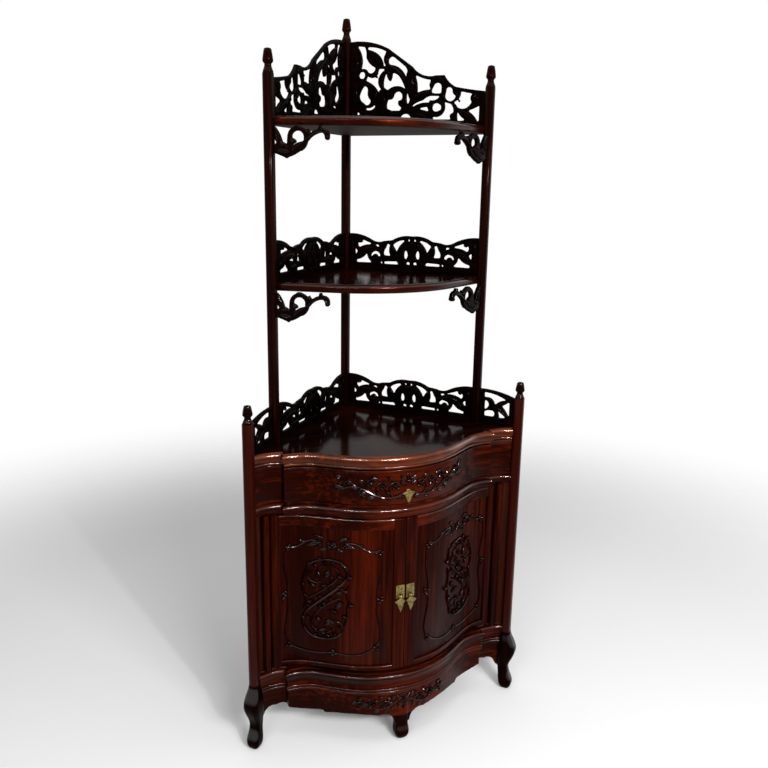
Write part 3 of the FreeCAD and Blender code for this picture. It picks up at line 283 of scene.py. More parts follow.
# grain: degrees that the grain is turned from +X about Z, or upright
# heart: where a painted sheen runs as a band of paler wood, as its middle and half width
# edge: how much coat the edges that look up get
woodLooks = {
    "frontWood": {
        "grain": 0, "heart": (0.02, 0.16),
        "dark": (0.0012, 0.0003, 0.0002), "middle": (0.006, 0.0005, 0.0003),
        "red": (0.07, 0.007, 0.001),
        "specular": 0.1, "coat": 0.008, "edge": 0.8, "roughness": 0.33,
    },
    "panelWood": {
        "grain": "upright", "heart": (-0.09, 0.1),
        "dark": (0.002, 0.0003, 0.0002), "middle": (0.007, 0.0005, 0.0003),
        "red": (0.05, 0.005, 0.001),
        "specular": 0.08, "coat": 0.012, "edge": 0.0, "roughness": 0.36,
    },
    "topWood": {
        "grain": 0, "heart": (0, 0.1),
        "dark": (0.0012, 0.0004, 0.0003), "middle": (0.005, 0.0008, 0.0004),
        "red": (0.025, 0.004, 0.001),
        "specular": 0.02, "coat": 0.025, "edge": 0.8, "roughness": 0.12,
    },
    # Front edge of the cabinet top: paler and redder than the top's own finish, a painted sheen
    # where the front light falls
    "rimWoodPaintedSheen": {
        "grain": 0, "heart": (0.02, 0.2), "tint": (1.0, 0.24, 0.06),
        "dark": (0.0015, 0.0004, 0.0003), "middle": (0.016, 0.0016, 0.0006),
        "red": (0.1, 0.014, 0.002),
        "specular": 0.5, "coat": 0.03, "edge": 1.0, "roughness": 0.24,
    },
    # Front edges of the shelves: a little paler than the shelves' finish, a painted sheen
    "noseWoodPaintedSheen": {
        "grain": 0, "heart": (0.02, 0.12),
        "dark": (0.0012, 0.0004, 0.0003), "middle": (0.007, 0.0008, 0.0004),
        "red": (0.04, 0.005, 0.001),
        "specular": 0.16, "coat": 0.02, "edge": 0.9, "roughness": 0.24,
    },
    "frontPostWood": {
        "grain": "upright", "heart": (0, 0.1),
        "dark": (0.006, 0.0006, 0.0003), "middle": (0.02, 0.0016, 0.0007),
        "red": (0.05, 0.006, 0.0015),
        "specular": 0.08, "coat": 0.04, "edge": 0.2, "roughness": 0.3,
    },
    # Near-black copy of the lacquered wood for the rear and upper posts and finials: painted shade,
    # away from the front light
    "postWoodPaintedShade": {
        "grain": "upright", "heart": (0, 0.1),
        "dark": (0.0008, 0.0003, 0.0002), "middle": (0.003, 0.0005, 0.0003),
        "red": (0.014, 0.002, 0.0007),
        "specular": 0.03, "coat": 0.03, "edge": 0.2, "roughness": 0.26,
    },
    # Near-black copy of the lacquered wood for the feet: painted shade low under the cabinet
    "footWoodPaintedShade": {
        "grain": "upright", "heart": (0, 0.1),
        "dark": (0.0006, 0.0003, 0.0002), "middle": (0.002, 0.0004, 0.0003),
        "red": (0.008, 0.001, 0.0005),
        "specular": 0.02, "coat": 0.008, "edge": 0.7, "roughness": 0.2,
    },
    "shelfWood": {
        "grain": 0, "heart": (0, 0.1),
        "dark": (0.0012, 0.0004, 0.0003), "middle": (0.005, 0.0008, 0.0004),
        "red": (0.025, 0.004, 0.001),
        "specular": 0.012, "coat": 0.01, "edge": 0.8, "roughness": 0.16,
    },
    # Near-black copies of the lacquered wood for the pierced galleries: painted shade at the back
    # corner
    "rightFretWood": {
        "grain": -45, "heart": (0, 0.1),
        "dark": (0.0004, 0.0003, 0.0002), "middle": (0.001, 0.0004, 0.0003),
        "red": (0.004, 0.001, 0.0006),
        "specular": 0.01, "coat": 0.02, "edge": 0.1, "roughness": 0.28,
    },
    "leftFretWood": {
        "grain": 45, "heart": (0, 0.1),
        "dark": (0.0004, 0.0003, 0.0002), "middle": (0.001, 0.0004, 0.0003),
        "red": (0.004, 0.001, 0.0006),
        "specular": 0.01, "coat": 0.02, "edge": 0.1, "roughness": 0.28,
    },
    # Near-black copy of the lacquered wood for the brackets: painted shade at the back corner
    "bracketWoodPaintedShade": {
        "grain": 28.5, "heart": (0, 0.1),
        "dark": (0.0004, 0.0003, 0.0002), "middle": (0.0015, 0.0005, 0.0003),
        "red": (0.007, 0.0015, 0.0007),
        "specular": 0.02, "coat": 0.03, "edge": 0.4, "roughness": 0.28,
    },
    "carvedWood": {
        "grain": 0, "heart": (0, 0.1),
        "dark": (0.0012, 0.0003, 0.0002), "middle": (0.004, 0.0005, 0.0003),
        "red": (0.018, 0.002, 0.0006),
        "specular": 0.04, "coat": 0.03, "edge": 0.6, "roughness": 0.24,
    },
    "backWood": {
        "grain": "upright", "heart": (0, 0.1),
        "dark": (0.01, 0.0025, 0.0015), "middle": (0.026, 0.006, 0.003),
        "red": (0.055, 0.015, 0.007),
        "specular": 0.06, "coat": 0.0, "edge": 0.0, "roughness": 0.55,
    },
    "innerWood": {
        "grain": 0, "heart": (0, 0.1),
        "dark": (0.012, 0.003, 0.002), "middle": (0.035, 0.009, 0.005),
        "red": (0.075, 0.022, 0.01),
        "specular": 0.06, "coat": 0.0, "edge": 0.0, "roughness": 0.55,
    },
}
lacquer = {
    "stretch": 22,               # how much longer than wide the grain is
    "streaks": {"Scale": 105, "Detail": 5.0, "Roughness": 0.6, "Distortion": 0.3},
    "bands": {"Scale": 10, "Detail": 2.0, "Distortion": 0.8},
    "pores": {"Scale": 420, "Detail": 2.0, "Roughness": 0.5},
    "ripple": {"Scale": 38.0, "Detail": 1.0},
    "streakShare": 0.6,          # the rest of the figure is bands
    "stops": (0.32, 0.5, 0.70),
    # The next three shape the painted sheen band: where in the figure it shows, how strongly, and
    # its core
    "paintedSheenFigure": (0.36, 0.6),
    "paintedSheenShare": 0.75,
    "paintedSheenCore": 0.3,            # share of the half width that is paler all over
    "poreEdge": (0.56, 0.72),
    "poreDark": 0.5,
    "poreRough": 0.12,
    "poreDepth": 0.12,
    "bandRough": 0.1,
    "underside": (-0.5, -0.95),
    "unpolished": 0.42,          # what an underside, which nobody polishes, adds to the roughness
    "rubbedFrom": (0.2, 0.34),   # edges that look up are polished by hand
    "rubbedTo": (0.48, 0.68),
    "rippleHeight": 0.5,
    "bump": {"Strength": 0.12, "Distance": 0.0012},
    "tint": (1.0, 0.13, 0.035),
    "coatRoughness": 0.07,
}


def lacqueredWood(name, look):
    material = bpy.data.materials.new(name)
    tree = Tree(material)
    upright = look["grain"] == "upright"
    turn = 0 if upright else math.radians(look["grain"])
    stretch = (1, 1, lacquer["stretch"]) if upright else (lacquer["stretch"], 1, 1)
    spot = tree.add("TexCoord", None, None, "Object")
    placing = {"Vector": spot, "Rotation": (0, 0, turn), "Scale": stretch}
    along = tree.add("Mapping", {"vector_type": "TEXTURE"}, placing)
    streaks, bands, pores = (
        tree.add("TexNoise", None, {"Vector": along, **lacquer[key]})
        for key in ("streaks", "bands", "pores"))
    figure = streaks * lacquer["streakShare"] + bands * (1 - lacquer["streakShare"])
    stops = list(zip(lacquer["stops"], (look["dark"], look["middle"], look["red"])))
    colour = tree.add("ValToRGB", {"stops": stops}, {"Fac": figure})
    across = tree.add("SeparateXYZ", None, {0: spot}, "X")
    # Painted sheen: a band of paler red across the front, where the front light's glow falls
    middle, half = look["heart"]
    offset = tree.add("Math", {"operation": "ABSOLUTE"}, {0: across - middle})
    heart = tree.ranged(offset, half, half * lacquer["paintedSheenCore"], "SMOOTHSTEP")
    bright = tree.ranged(figure, *lacquer["paintedSheenFigure"])
    colour = tree.mixed(heart * bright * lacquer["paintedSheenShare"], colour, look["red"])
    gaps = tree.ranged(pores, *lacquer["poreEdge"])
    colour = tree.mixed(gaps * lacquer["poreDark"], colour, look["dark"])
    facing = tree.add("TexCoord", None, None, "Normal")
    level = tree.add("SeparateXYZ", None, {0: facing}, "Z")
    underside = tree.ranged(level, *lacquer["underside"])
    rising = tree.ranged(level, *lacquer["rubbedFrom"])
    flat = tree.ranged(level, *lacquer["rubbedTo"])
    rubbed = rising * (1 - flat)
    wear = gaps * lacquer["poreRough"] + (bands - 0.5) * lacquer["bandRough"]
    roughness = look["roughness"] + wear + underside * lacquer["unpolished"]
    ripple = tree.add("TexNoise", None, {"Vector": spot, **lacquer["ripple"]})
    height = ripple * lacquer["rippleHeight"] - gaps * lacquer["poreDepth"]
    bump = tree.add("Bump", None, {"Height": height, **lacquer["bump"]})
    coat = (1 - underside) * look["coat"] + rubbed * look["edge"]
    tree.finish(tree.add("BsdfPrincipled", None, {
        "Base Color": colour, "Roughness": roughness, "Normal": bump,
        "Specular IOR Level": look["specular"], "Specular Tint": look.get("tint", lacquer["tint"]),
        "Coat Weight": coat, "Coat Roughness": lacquer["coatRoughness"]}))
    return material


brassLook = {
    "tarnish": (0.05, 0.036, 0.014),
    "worn": (0.14, 0.10, 0.036),
    "bright": (0.25, 0.185, 0.066),
    "stops": (0.32, 0.46, 0.62),
    "patches": {"Scale": 160.0, "Detail": 4.0, "Roughness": 0.6},
    "scratches": {"Scale": 900.0, "Detail": 2.0},
    "roughness": 0.48,
    "rubbed": 0.22,              # what bright patches take off the roughness
    "scuffed": 0.1,              # what scratches add to it
    "patchHeight": 0.6,
    "scratchHeight": 0.4,
    "bump": {"Strength": 0.25, "Distance": 0.0004},
}


def agedBrass():
    material = bpy.data.materials.new("agedBrass")
    tree = Tree(material)
    spot = tree.add("TexCoord", None, None, "Object")
    patches, scratches = (
        tree.add("TexNoise", None, {"Vector": spot, **brassLook[key]})
        for key in ("patches", "scratches"))
    colours = (brassLook[key] for key in ("tarnish", "worn", "bright"))
    stops = list(zip(brassLook["stops"], colours))
    colour = tree.add("ValToRGB", {"stops": stops}, {"Fac": patches})
    roughness = (brassLook["roughness"] - patches * brassLook["rubbed"]
                 + scratches * brassLook["scuffed"])
    height = patches * brassLook["patchHeight"] + scratches * brassLook["scratchHeight"]
    bump = tree.add("Bump", None, {"Height": height, **brassLook["bump"]})
    tree.finish(tree.add("BsdfPrincipled", None, {
        "Base Color": colour, "Roughness": roughness, "Normal": bump, "Metallic": 1.0}))
    return material


woods = {name: lacqueredWood(name, look) for name, look in woodLooks.items()}
brass = agedBrass()
print("finishes mixed")


def sides(name):
    return [name + "_left", name + "_right"]


finishOf = {
    "frontWood": ["apron", "base_moulding", "waist_moulding", "drawer_front",
                  *sides("frieze"), *sides("door_rails")],
    "panelWood": [*sides("door_panel"), *sides("door_hinge_stile"),
                  *sides("door_meeting_stile"), *sides("door_jamb")],
    "topWood": ["cabinet_top"],
    "frontPostWood": sides("front_post"),
    "postWoodPaintedShade": ["rear_leg", "rear_post", *sides("shelf_post"), "front_finials", "upper_finials"],
    "footWoodPaintedShade": [*sides("foot"), "foot_centre"],
    "shelfWood": ["middle_shelf", "top_shelf"],
    "backWood": sides("back_panel"),
    "innerWood": ["bottom_board", "drawer_board", "drawer_runners", *sides("drawer_side"),
                  "drawer_back", "drawer_bottom"],
}
softEdges = {
    "width": 0.0011, "segments": 2, "limit_method": "ANGLE", "angle_limit": math.radians(38),
    "use_clamp_overlap": True, "harden_normals": True,
}
# Front faces of the top and the shelves take the paler finishes of the painted sheen
rims = {
    "finishes": {"cabinet_top": "rimWoodPaintedSheen", "middle_shelf": "noseWoodPaintedSheen", "top_shelf": "noseWoodPaintedSheen"},
    "flat": 0.97,     # faces that look further up or down than this are the board's top and bottom
    "back": 0.3,      # faces that look further back than this stand against the wall
}


def dressNode(name, material):
    node = nodes[name]
    node.data.materials.clear()
    node.data.materials.append(material)
    weld = node.modifiers.new("weld", "WELD")
    weld.merge_threshold = weldReach
    edges = node.modifiers.new("softEdges", "BEVEL")
    for key, value in softEdges.items():
        setattr(edges, key, value)


def dressRim(name, material):
    node = nodes[name]
    node.data.materials.append(material)
    for face in node.data.polygons:
        front = abs(face.normal.z) < rims["flat"] and face.normal.y < rims["back"]
        face.material_index = 1 if front else 0


for finish, names in finishOf.items():
    for name in names:
        dressNode(name, woods[finish])
for name in nodes:
    if "pull" in name:
        dressNode(name, brass)
for name, finish in rims["finishes"].items():
    dressRim(name, woods[finish])
print("nodes dressed")


# Brass drops: winged arrows that hang from round pins, as (sideways, up) in millimetres

winged = {
    "doorOutline": [
        (2.4, 0), (3, -4), (6, -8), (12, -11), (17, -14), (13, -18), (8.5, -21), (8, -26), (0, -46),
        (-8, -26), (-8.5, -21), (-11, -18), (-13, -14), (-10, -11), (-6, -8), (-3, -4), (-2.4, 0)],
    "drawerOutline": [
        (4, 0.8), (9, 0), (17, -2.5), (14, -6.5), (10, -10), (8.5, -14.5), (0, -33),
        (-8.5, -14.5), (-10, -10), (-14, -6.5), (-17, -2.5), (-9, 0), (-4, 0.8)],
    "drawerPlate": [(5, 5), (7, -2), (5, -9), (-5, -9), (-7, -2), (-5, 5)],
    "thick": 2.8,
    "plateThick": 2,
    "stalk": 2.4,
    "edge": 0.7,
    "knob": {"door": 5, "drawer": 2.9},
    "knobOut": {"door": 2, "drawer": 0.6},
    "eye": {"door": 2.6, "drawer": 1.87},    # what the eye stands above the pin's axis
}


def sheet(outline, place, thick, sign=1):
    deselectAll()
    bpy.ops.mesh.primitive_circle_add(vertices=len(outline), radius=1, fill_type="NGON")
    piece = bpy.context.object
    for vertex, (x, z) in zip(piece.data.vertices, outline):
        vertex.co = place + Vector((sign * x, 0, z)) * millimetre
    applyModifier(piece, "SOLIDIFY", thickness=thick * millimetre, offset=0)
    applyModifier(piece, "BEVEL", width=winged["edge"] * millimetre, segments=2)
    return piece


def hang(piece, nodeName, body):
    outward(piece)
    smooth(piece)
    piece.data.materials.clear()
    piece.data.materials.append(brass)
    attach(piece, body)
    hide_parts(nodeName)


def pinOf(kind, nodeName):
    low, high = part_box(nodeName)
    middle = (low + high) / 2
    return Vector((middle.x, middle.y, high.z - winged["eye"][kind] * millimetre))


def wingedDrop(kind, nodeName, newName, body, sign):
    pin = pinOf(kind, nodeName)
    drop = sheet(winged[kind + "Outline"], pin, winged["thick"], sign)
    deselectAll()
    bpy.ops.mesh.primitive_uv_sphere_add(segments=20, ring_count=12, radius=1)
    knob = bpy.context.object
    out = Vector((0, winged["knobOut"][kind], 0))
    moveEach(knob, lambda point: pin + (point * winged["knob"][kind] - out) * millimetre)
    hang(joinPieces([drop, knob], newName), nodeName, body)


def smallPlate():
    pin = pinOf("drawer", "drawer_pull_drop")
    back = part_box("drawer_pull_plate")[1].y
    thick = winged["plateThick"]
    place = Vector((pin.x, back - thick / 2 * millimetre, pin.z))
    plate = sheet(winged["drawerPlate"], place, thick)
    deselectAll()
    bpy.ops.mesh.primitive_cylinder_add(
        vertices=16, radius=winged["stalk"] * millimetre, depth=back - pin.y,
        rotation=(math.radians(90), 0, 0))
    stalk = bpy.context.object
    bpy.ops.object.transform_apply(location=False)
    moveEach(stalk, lambda point: point + Vector((pin.x, (pin.y + back) / 2, pin.z)))
    hang(joinPieces([plate, stalk], "drawerPlate"), "drawer_pull_plate", "drawer")


wingedDrop("door", "door_pull_drop_left", "leftDrop", "left_drop", -1)
wingedDrop("door", "door_pull_drop_right", "rightDrop", "right_drop", 1)
wingedDrop("drawer", "drawer_pull_drop", "drawerDrop", "drawer_drop", 1)
smallPlate()
print("drops hung")


# Pierced boards: merged copies of the fretwork with carved, rounded edges

fretwork = {
    "grid": 0.0016,        # of the rounded surface
    "softness": 0.5,
    "rounding": 5,
    "blending": 12,
}


def plainCopy(nodeName, newName):
    piece = bpy.data.objects.new(newName, nodes[nodeName].data.copy())
    bpy.context.scene.collection.objects.link(piece)
    return piece


def carvedCopy(nodeNames, newName, material, rounding=fretwork["rounding"]):
    piece = joinPieces([plainCopy(nodeName, newName) for nodeName in nodeNames], newName)
    bpy.ops.mesh.customdata_custom_splitnormals_clear()
    bpy.ops.object.mode_set(mode="EDIT")
    bpy.ops.mesh.select_all(action="SELECT")
    bpy.ops.mesh.remove_doubles(threshold=weldReach)
    bpy.ops.object.mode_set(mode="OBJECT")
    applyModifier(piece, "REMESH", mode="VOXEL", voxel_size=fretwork["grid"])
    applyModifier(piece, "SMOOTH", factor=fretwork["softness"], iterations=rounding)
    piece.data.materials.clear()
    piece.data.materials.append(material)
    return piece


def blend(piece, chosen):
    group = piece.vertex_groups.new(name="blend")
    group.add([vertex.index for vertex in piece.data.vertices if chosen(vertex.co)], 1, "REPLACE")
    applyModifier(piece, "SMOOTH", factor=fretwork["softness"], iterations=fretwork["blending"],
                  vertex_group="blend")
    piece.vertex_groups.clear()


# Carving: leaves, buds, rosettes and stems, worked flat as (along, up, out) in millimetres

leafShape = {
    "widest": 0.85,       # below 1, the leaf is widest nearer its base
    "fullness": 0.9,
    "ribDepth": 0.42,
    "ribWidth": 0.2,
    "veinDepth": 0.1,
    "veins": 26,
    "veinSlant": 5,
    "crown": 0.6,
    "roundness": 0.7,
    "sunk": -0.8,         # the underside lies this far below the surface
}
rosetteShape = {
    "heart": 0.34, "heartRise": 1.15, "petalFrom": 0.18, "petalWidth": 0.72, "turn": 0.3,
}
stemShape = {"order": 4, "steps": 6, "facets": 2}


def leafBlank():
    deselectAll()
    bpy.ops.mesh.primitive_uv_sphere_add(segments=16, ring_count=10, radius=1)
    blank = bpy.context.object
    bpy.ops.object.mode_set(mode="EDIT")
    bpy.ops.mesh.select_all(action="SELECT")
    bpy.ops.transform.rotate(value=math.radians(90), orient_axis="Y", center_override=(0, 0, 0))
    bpy.ops.object.mode_set(mode="OBJECT")
    blank.name = "leafBlank"
    return blank


def leafPoint(point, length, width, height, bend):
    shape = leafShape
    share = (point.x + 1) / 2
    across = math.hypot(point.y, point.z)
    middle = across < 1e-6      # base and tip
    fullness = math.sin(math.pi * share ** shape["widest"]) ** shape["fullness"]
    side = 0 if middle else point.y / across
    top = 0 if middle else max(point.z, 0) / across
    rib = 1 - shape["ribDepth"] * math.exp(-(side / shape["ribWidth"]) ** 2)
    slant = abs(side) * shape["veinSlant"]
    veins = 1 + shape["veinDepth"] * math.sin(share * shape["veins"] - slant)
    raised = height * fullness ** shape["crown"] * top ** shape["roundness"] * rib * veins
    sideways = side * fullness * width / 2 + bend * 4 * share * (1 - share)
    return Vector((share * length, sideways, raised if point.z > 0 else shape["sunk"]))


def carvedLeaf(base, tip, width, bend, height=3.2):
    leaf = bpy.data.objects.new("leaf", blankLeaf.data.copy())
    bpy.context.scene.collection.objects.link(leaf)
    way = Vector(tip) - Vector(base)
    moveEach(leaf, lambda point: leafPoint(point, way.length, width, height, bend))
    turn = Matrix.Rotation(math.atan2(way.y, way.x), 4, "Z")
    leaf.data.transform(Matrix.Translation((*base, 0)) @ turn)
    return leaf


def carvedBud(centre, radius, height):
    deselectAll()
    bpy.ops.mesh.primitive_uv_sphere_add(segments=14, ring_count=8, radius=1)
    bud = bpy.context.object
    moveEach(bud, lambda point: Vector((
        centre[0] + point.x * radius, centre[1] + point.y * radius,
        height * point.z if point.z > 0 else leafShape["sunk"])))
    return bud


def carvedRosette(centre, radius, petals, height):
    shape, middle = rosetteShape, Vector(centre)
    pieces = [carvedBud(centre, radius * shape["heart"], height * shape["heartRise"])]
    for index in range(petals):
        angle = shape["turn"] + 2 * math.pi * index / petals
        way = Vector((math.cos(angle), math.sin(angle))) * radius
        base, tip = tuple(middle + way * shape["petalFrom"]), tuple(middle + way)
        pieces.append(carvedLeaf(base, tip, radius * shape["petalWidth"], 0, height))
    return pieces


def carvedStem(points, radius, height=2.6, taper=0.6):
    data = bpy.data.curves.new("stem", "CURVE")
    data.dimensions = "3D"
    data.bevel_depth = 1
    data.bevel_resolution = stemShape["facets"]
    data.use_fill_caps = True
    line = data.splines.new("NURBS")
    line.points.add(len(points) - 1)
    for index, (spot, point) in enumerate(zip(line.points, points)):
        spot.co = (*point, 0, 1)
        spot.radius = radius * (1 + (taper - 1) * index / (len(points) - 1))
    line.order_u = stemShape["order"]
    line.use_endpoint_u = True
    line.resolution_u = stemShape["steps"]
    stem = bpy.data.objects.new("stem", data)
    bpy.context.scene.collection.objects.link(stem)
    pick(stem)
    bpy.ops.object.convert(target="MESH")
    moveEach(stem, lambda point: Vector((point.x, point.y, point.z * height / radius)))
    return stem


def carving(design, name):
    pieces = []
    for item in design.get("leaves", []):
        pieces.append(carvedLeaf(*item))
    for item in design.get("buds", []):
        pieces.append(carvedBud(*item))
    for item in design.get("rosettes", []):
        pieces += carvedRosette(*item)
    for item in design.get("stems", []):
        pieces.append(carvedStem(*item))
    return joinPieces(pieces, name)


def mirrored(piece, name):
    twin = bpy.data.objects.new(name, piece.data.copy())
    bpy.context.scene.collection.objects.link(twin)
    twin.data.transform(Matrix.Diagonal((-1, 1, 1, 1)))
    outward(twin)
    return twin


def drape(piece, nodeName):
    surface = nodes[nodeName]
    ahead = Vector((0, 1, 0))

    def onto(point):
        # well in front of the cabinet
        start = Vector((point.x * millimetre, -1, point.y * millimetre))
        hit, spot, _, _ = surface.ray_cast(start, ahead)
        depth = spot.y if hit else onto.last
        onto.last = depth
        return Vector((start.x, depth - point.z * millimetre, start.z))

    onto.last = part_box(nodeName)[0].y
    moveEach(piece, onto)
    outward(piece)
    smooth(piece)


def finishCarving(piece, body, material):
    piece.data.materials.clear()
    piece.data.materials.append(material)
    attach(piece, body)


blankLeaf = leafBlank()

# Doors: a thin border line with small flowers, a flower swag, and an S-shaped scroll with leaves

doorCarving = {
    "stems": [
        ([(64, 545), (60, 516), (65, 480), (75, 446), (70, 424), (76, 392), (67, 352), (60, 316),
         (66, 296), (74, 286)], 2.6, 3.2, 1),
        ([(288, 545), (292, 516), (288, 480), (279, 446), (286, 424), (278, 392), (286, 352),
         (292, 316), (288, 296), (282, 280)], 2.6, 3.2, 1),
        ([(78, 280), (104, 262), (136, 255), (162, 258), (178, 262), (194, 258), (222, 253),
         (252, 258), (278, 274)], 2.6, 3.2, 1),
        ([(72, 558), (90, 555), (106, 562), (120, 574), (134, 580), (150, 576)], 3.4, 4.6, 0.8),
        ([(282, 556), (266, 553), (250, 561), (238, 574), (222, 580), (206, 574)], 3.4, 4.6, 0.8),
        ([(197, 419), (176, 440), (150, 466), (140, 496), (160, 527), (200, 530), (236, 512),
         (242, 476), (222, 454), (204, 464)], 4.4, 7.5, 0.55),
        ([(197, 419), (218, 398), (246, 372), (250, 334), (230, 302), (196, 297), (162, 308),
         (148, 338), (166, 360), (184, 350)], 4.4, 7.5, 0.55),
        ([(232, 416), (210, 430), (188, 452), (170, 470), (160, 494), (178, 512), (204, 510),
         (218, 494), (206, 478)], 2.4, 5.5, 0.7),
        ([(162, 422), (184, 408), (206, 386), (224, 364), (230, 336), (212, 314), (188, 316),
         (174, 332), (186, 346)], 2.4, 5.5, 0.7),
        ([(240, 488), (250, 460), (248, 432), (236, 410), (245, 384)], 2.4, 5.5, 0.9),
        ([(154, 340), (141, 368), (150, 394), (137, 408), (150, 432), (142, 460)], 2.4, 5.5, 0.9),
    ],
    "leaves": [
        ((152, 578), (122, 562), 13, 3, 5.5), ((208, 578), (238, 562), 13, -3, 5.5),
        ((164, 582), (138, 592), 11, -2, 5.5), ((196, 582), (224, 592), 11, 2, 5.5),
        ((170, 562), (150, 552), 11, 2, 5), ((190, 562), (210, 552), 11, -2, 5),
        ((126, 572), (104, 576), 9, 2, 4), ((236, 572), (256, 576), 9, -2, 4),
        ((198, 476), (184, 500), 13, 2, 7), ((206, 470), (212, 496), 12, -2, 7),
        ((176, 484), (184, 460), 10, 0, 6), ((216, 440), (236, 462), 11, 2, 7),
        ((186, 456), (206, 450), 10, 0, 7), ((172, 432), (154, 446), 10, 2, 7),
        ((220, 406), (240, 396), 10, 2, 7), ((152, 412), (174, 386), 11, 2, 7),
        ((196, 340), (182, 362), 13, 2, 7), ((204, 344), (214, 366), 12, -2, 7),
        ((190, 330), (212, 320), 11, 0, 6), ((164, 376), (190, 384), 10, 2, 7),
        ((180, 437), (193, 454), 9, 2, 8), ((190, 426), (177, 409), 9, 2, 8),
        ((204, 412), (217, 429), 9, 2, 8), ((214, 402), (201, 385), 9, 2, 8),
        ((164, 453), (150, 444), 9, 2, 8), ((230, 386), (244, 395), 9, 2, 8),
        ((152, 474), (166, 486), 9, 2, 8), ((242, 365), (228, 353), 9, 2, 8),
        ((168, 523), (182, 513), 9, 2, 8), ((196, 527), (194, 512), 9, 2, 8),
        ((222, 517), (212, 505), 9, 2, 8), ((238, 492), (224, 486), 9, 2, 8),
        ((224, 306), (212, 316), 9, 2, 8), ((198, 301), (200, 316), 9, 2, 8),
        ((172, 308), (180, 321), 9, 2, 8), ((154, 332), (168, 340), 9, 2, 8),
    ],
    "rosettes": [((180, 569), 14, 6, 6), ((152, 570), 11, 5, 5.5), ((212, 570), 12, 5, 5.5)],
    "buds": [
        ((160, 522), 6, 8), ((148, 512), 5, 7), ((139, 482), 7, 9), ((163, 482), 5.5, 8),
        ((165, 455), 5.5, 8), ((150, 442), 6.5, 9), ((136, 403), 7, 9),
        ((162, 408), 5.5, 8), ((151, 369), 6.5, 9), ((180, 352), 5, 8), ((218, 326), 6, 8),
        ((200, 316), 6, 8), ((190, 311), 5, 8), ((198, 402), 5.5, 9),
        ((176, 526), 5, 7), ((208, 528), 5, 7), ((232, 512), 5, 7), ((245, 452), 5, 7),
        ((240, 420), 5, 7), ((246, 356), 5, 7), ((242, 324), 5, 7),
        ((70, 561), 5, 6), ((62, 556), 5, 6), ((67, 548), 5, 6), ((77, 554), 5, 6),
        ((285, 556), 5, 6), ((277, 561), 5, 6), ((271, 555), 5, 6), ((281, 548), 5, 6),
        ((63, 420), 5, 6), ((72, 424), 5, 6), ((61, 429), 5, 6), ((67, 413), 5, 6),
        ((289, 420), 5, 6), ((296, 425), 5, 6), ((288, 429), 5, 6), ((293, 412), 5, 6),
        ((70, 291), 5, 6), ((78, 284), 5, 6), ((71, 278), 5, 6), ((281, 281), 5, 6),
        ((279, 270), 5, 6), ((287, 273), 5, 6),
        ((178, 267), 5, 6), ((171, 259), 5, 6), ((185, 259), 5, 6), ((178, 253), 5, 6),
    ],
}


def carveDoors():
    right = carving(doorCarving, "doorCarvingRight")
    left = mirrored(right, "doorCarvingLeft")
    for piece, side in ((right, "right"), (left, "left")):
        drape(piece, f"door_panel_{side}")
        finishCarving(piece, f"{side}_door", woods["carvedWood"])


carveDoors()
print("doors carved")

# Drawer: a flowering vine to both sides of the pull

vine = {
    "stems": [
        ([(14, 716), (28, 707), (52, 704), (78, 709), (100, 722), (124, 738), (146, 736),
         (160, 726)], 3.6, 5, 0.7),
        ([(40, 706), (52, 722), (50, 742), (36, 750), (24, 742), (28, 730)], 2.8, 4.4, 0.7),
        ([(70, 708), (84, 722), (84, 742), (70, 752), (58, 744)], 2.8, 4.4, 0.7),
        ([(104, 726), (112, 742), (104, 756), (92, 756)], 2.6, 4.4, 0.7),
        ([(132, 738), (146, 752), (160, 752), (164, 742)], 2.6, 4.4, 0.7),
    ],
    "leaves": [
        ((30, 712), (14, 700), 12, 2, 5), ((58, 706), (46, 696), 11, -2, 5),
        ((84, 714), (106, 704), 13, -2, 5), ((104, 726), (124, 714), 13, -2, 5),
        ((124, 738), (140, 718), 13, 2, 5), ((150, 734), (172, 720), 13, 2, 5),
        ((158, 730), (180, 740), 12, -2, 5), ((44, 744), (56, 764), 12, 2, 5),
        ((76, 752), (94, 766), 12, -2, 5), ((22, 744), (12, 762), 12, 2, 5),
        ((112, 742), (128, 758), 12, 2, 5), ((162, 752), (178, 764), 12, 2, 5),
        ((58, 726), (72, 738), 10, 0, 5), ((88, 738), (102, 748), 10, 0, 5),
        ((140, 738), (150, 756), 10, 0, 5), ((46, 716), (62, 722), 10, 0, 5),
    ],
    "rosettes": [((36, 737), 12, 5, 6), ((66, 738), 13, 5, 6), ((98, 746), 11, 5, 6),
                 ((152, 748), 11, 5, 6), ((120, 728), 10, 5, 5.5)],
    "buds": [((28, 730), 4.5, 6), ((92, 757), 4.5, 6), ((164, 742), 4.5, 6), ((112, 710), 4.5, 6),
             ((80, 730), 4, 6), ((172, 730), 4.5, 6)],
}
vineMiddle = {
    "leaves": [((0, 748), (0, 772), 13, 0, 5), ((-5, 746), (-22, 766), 12, 2, 5),
               ((5, 746), (22, 766), 12, -2, 5), ((-6, 738), (-24, 750), 11, 2, 5),
               ((6, 738), (24, 750), 11, -2, 5)],
    "buds": [((0, 747), 6, 7)],
}


def carveDrawer():
    right = carving(vine, "vineRight")
    left = mirrored(right, "vineLeft")
    middle = carving(vineMiddle, "vineMiddle")
    piece = joinPieces([right, left, middle], "drawerCarving")
    drape(piece, "drawer_front")
    finishCarving(piece, "drawer", woods["carvedWood"])


carveDrawer()
print("drawer carved")

# Apron: leaf sprays that spread from above the middle foot

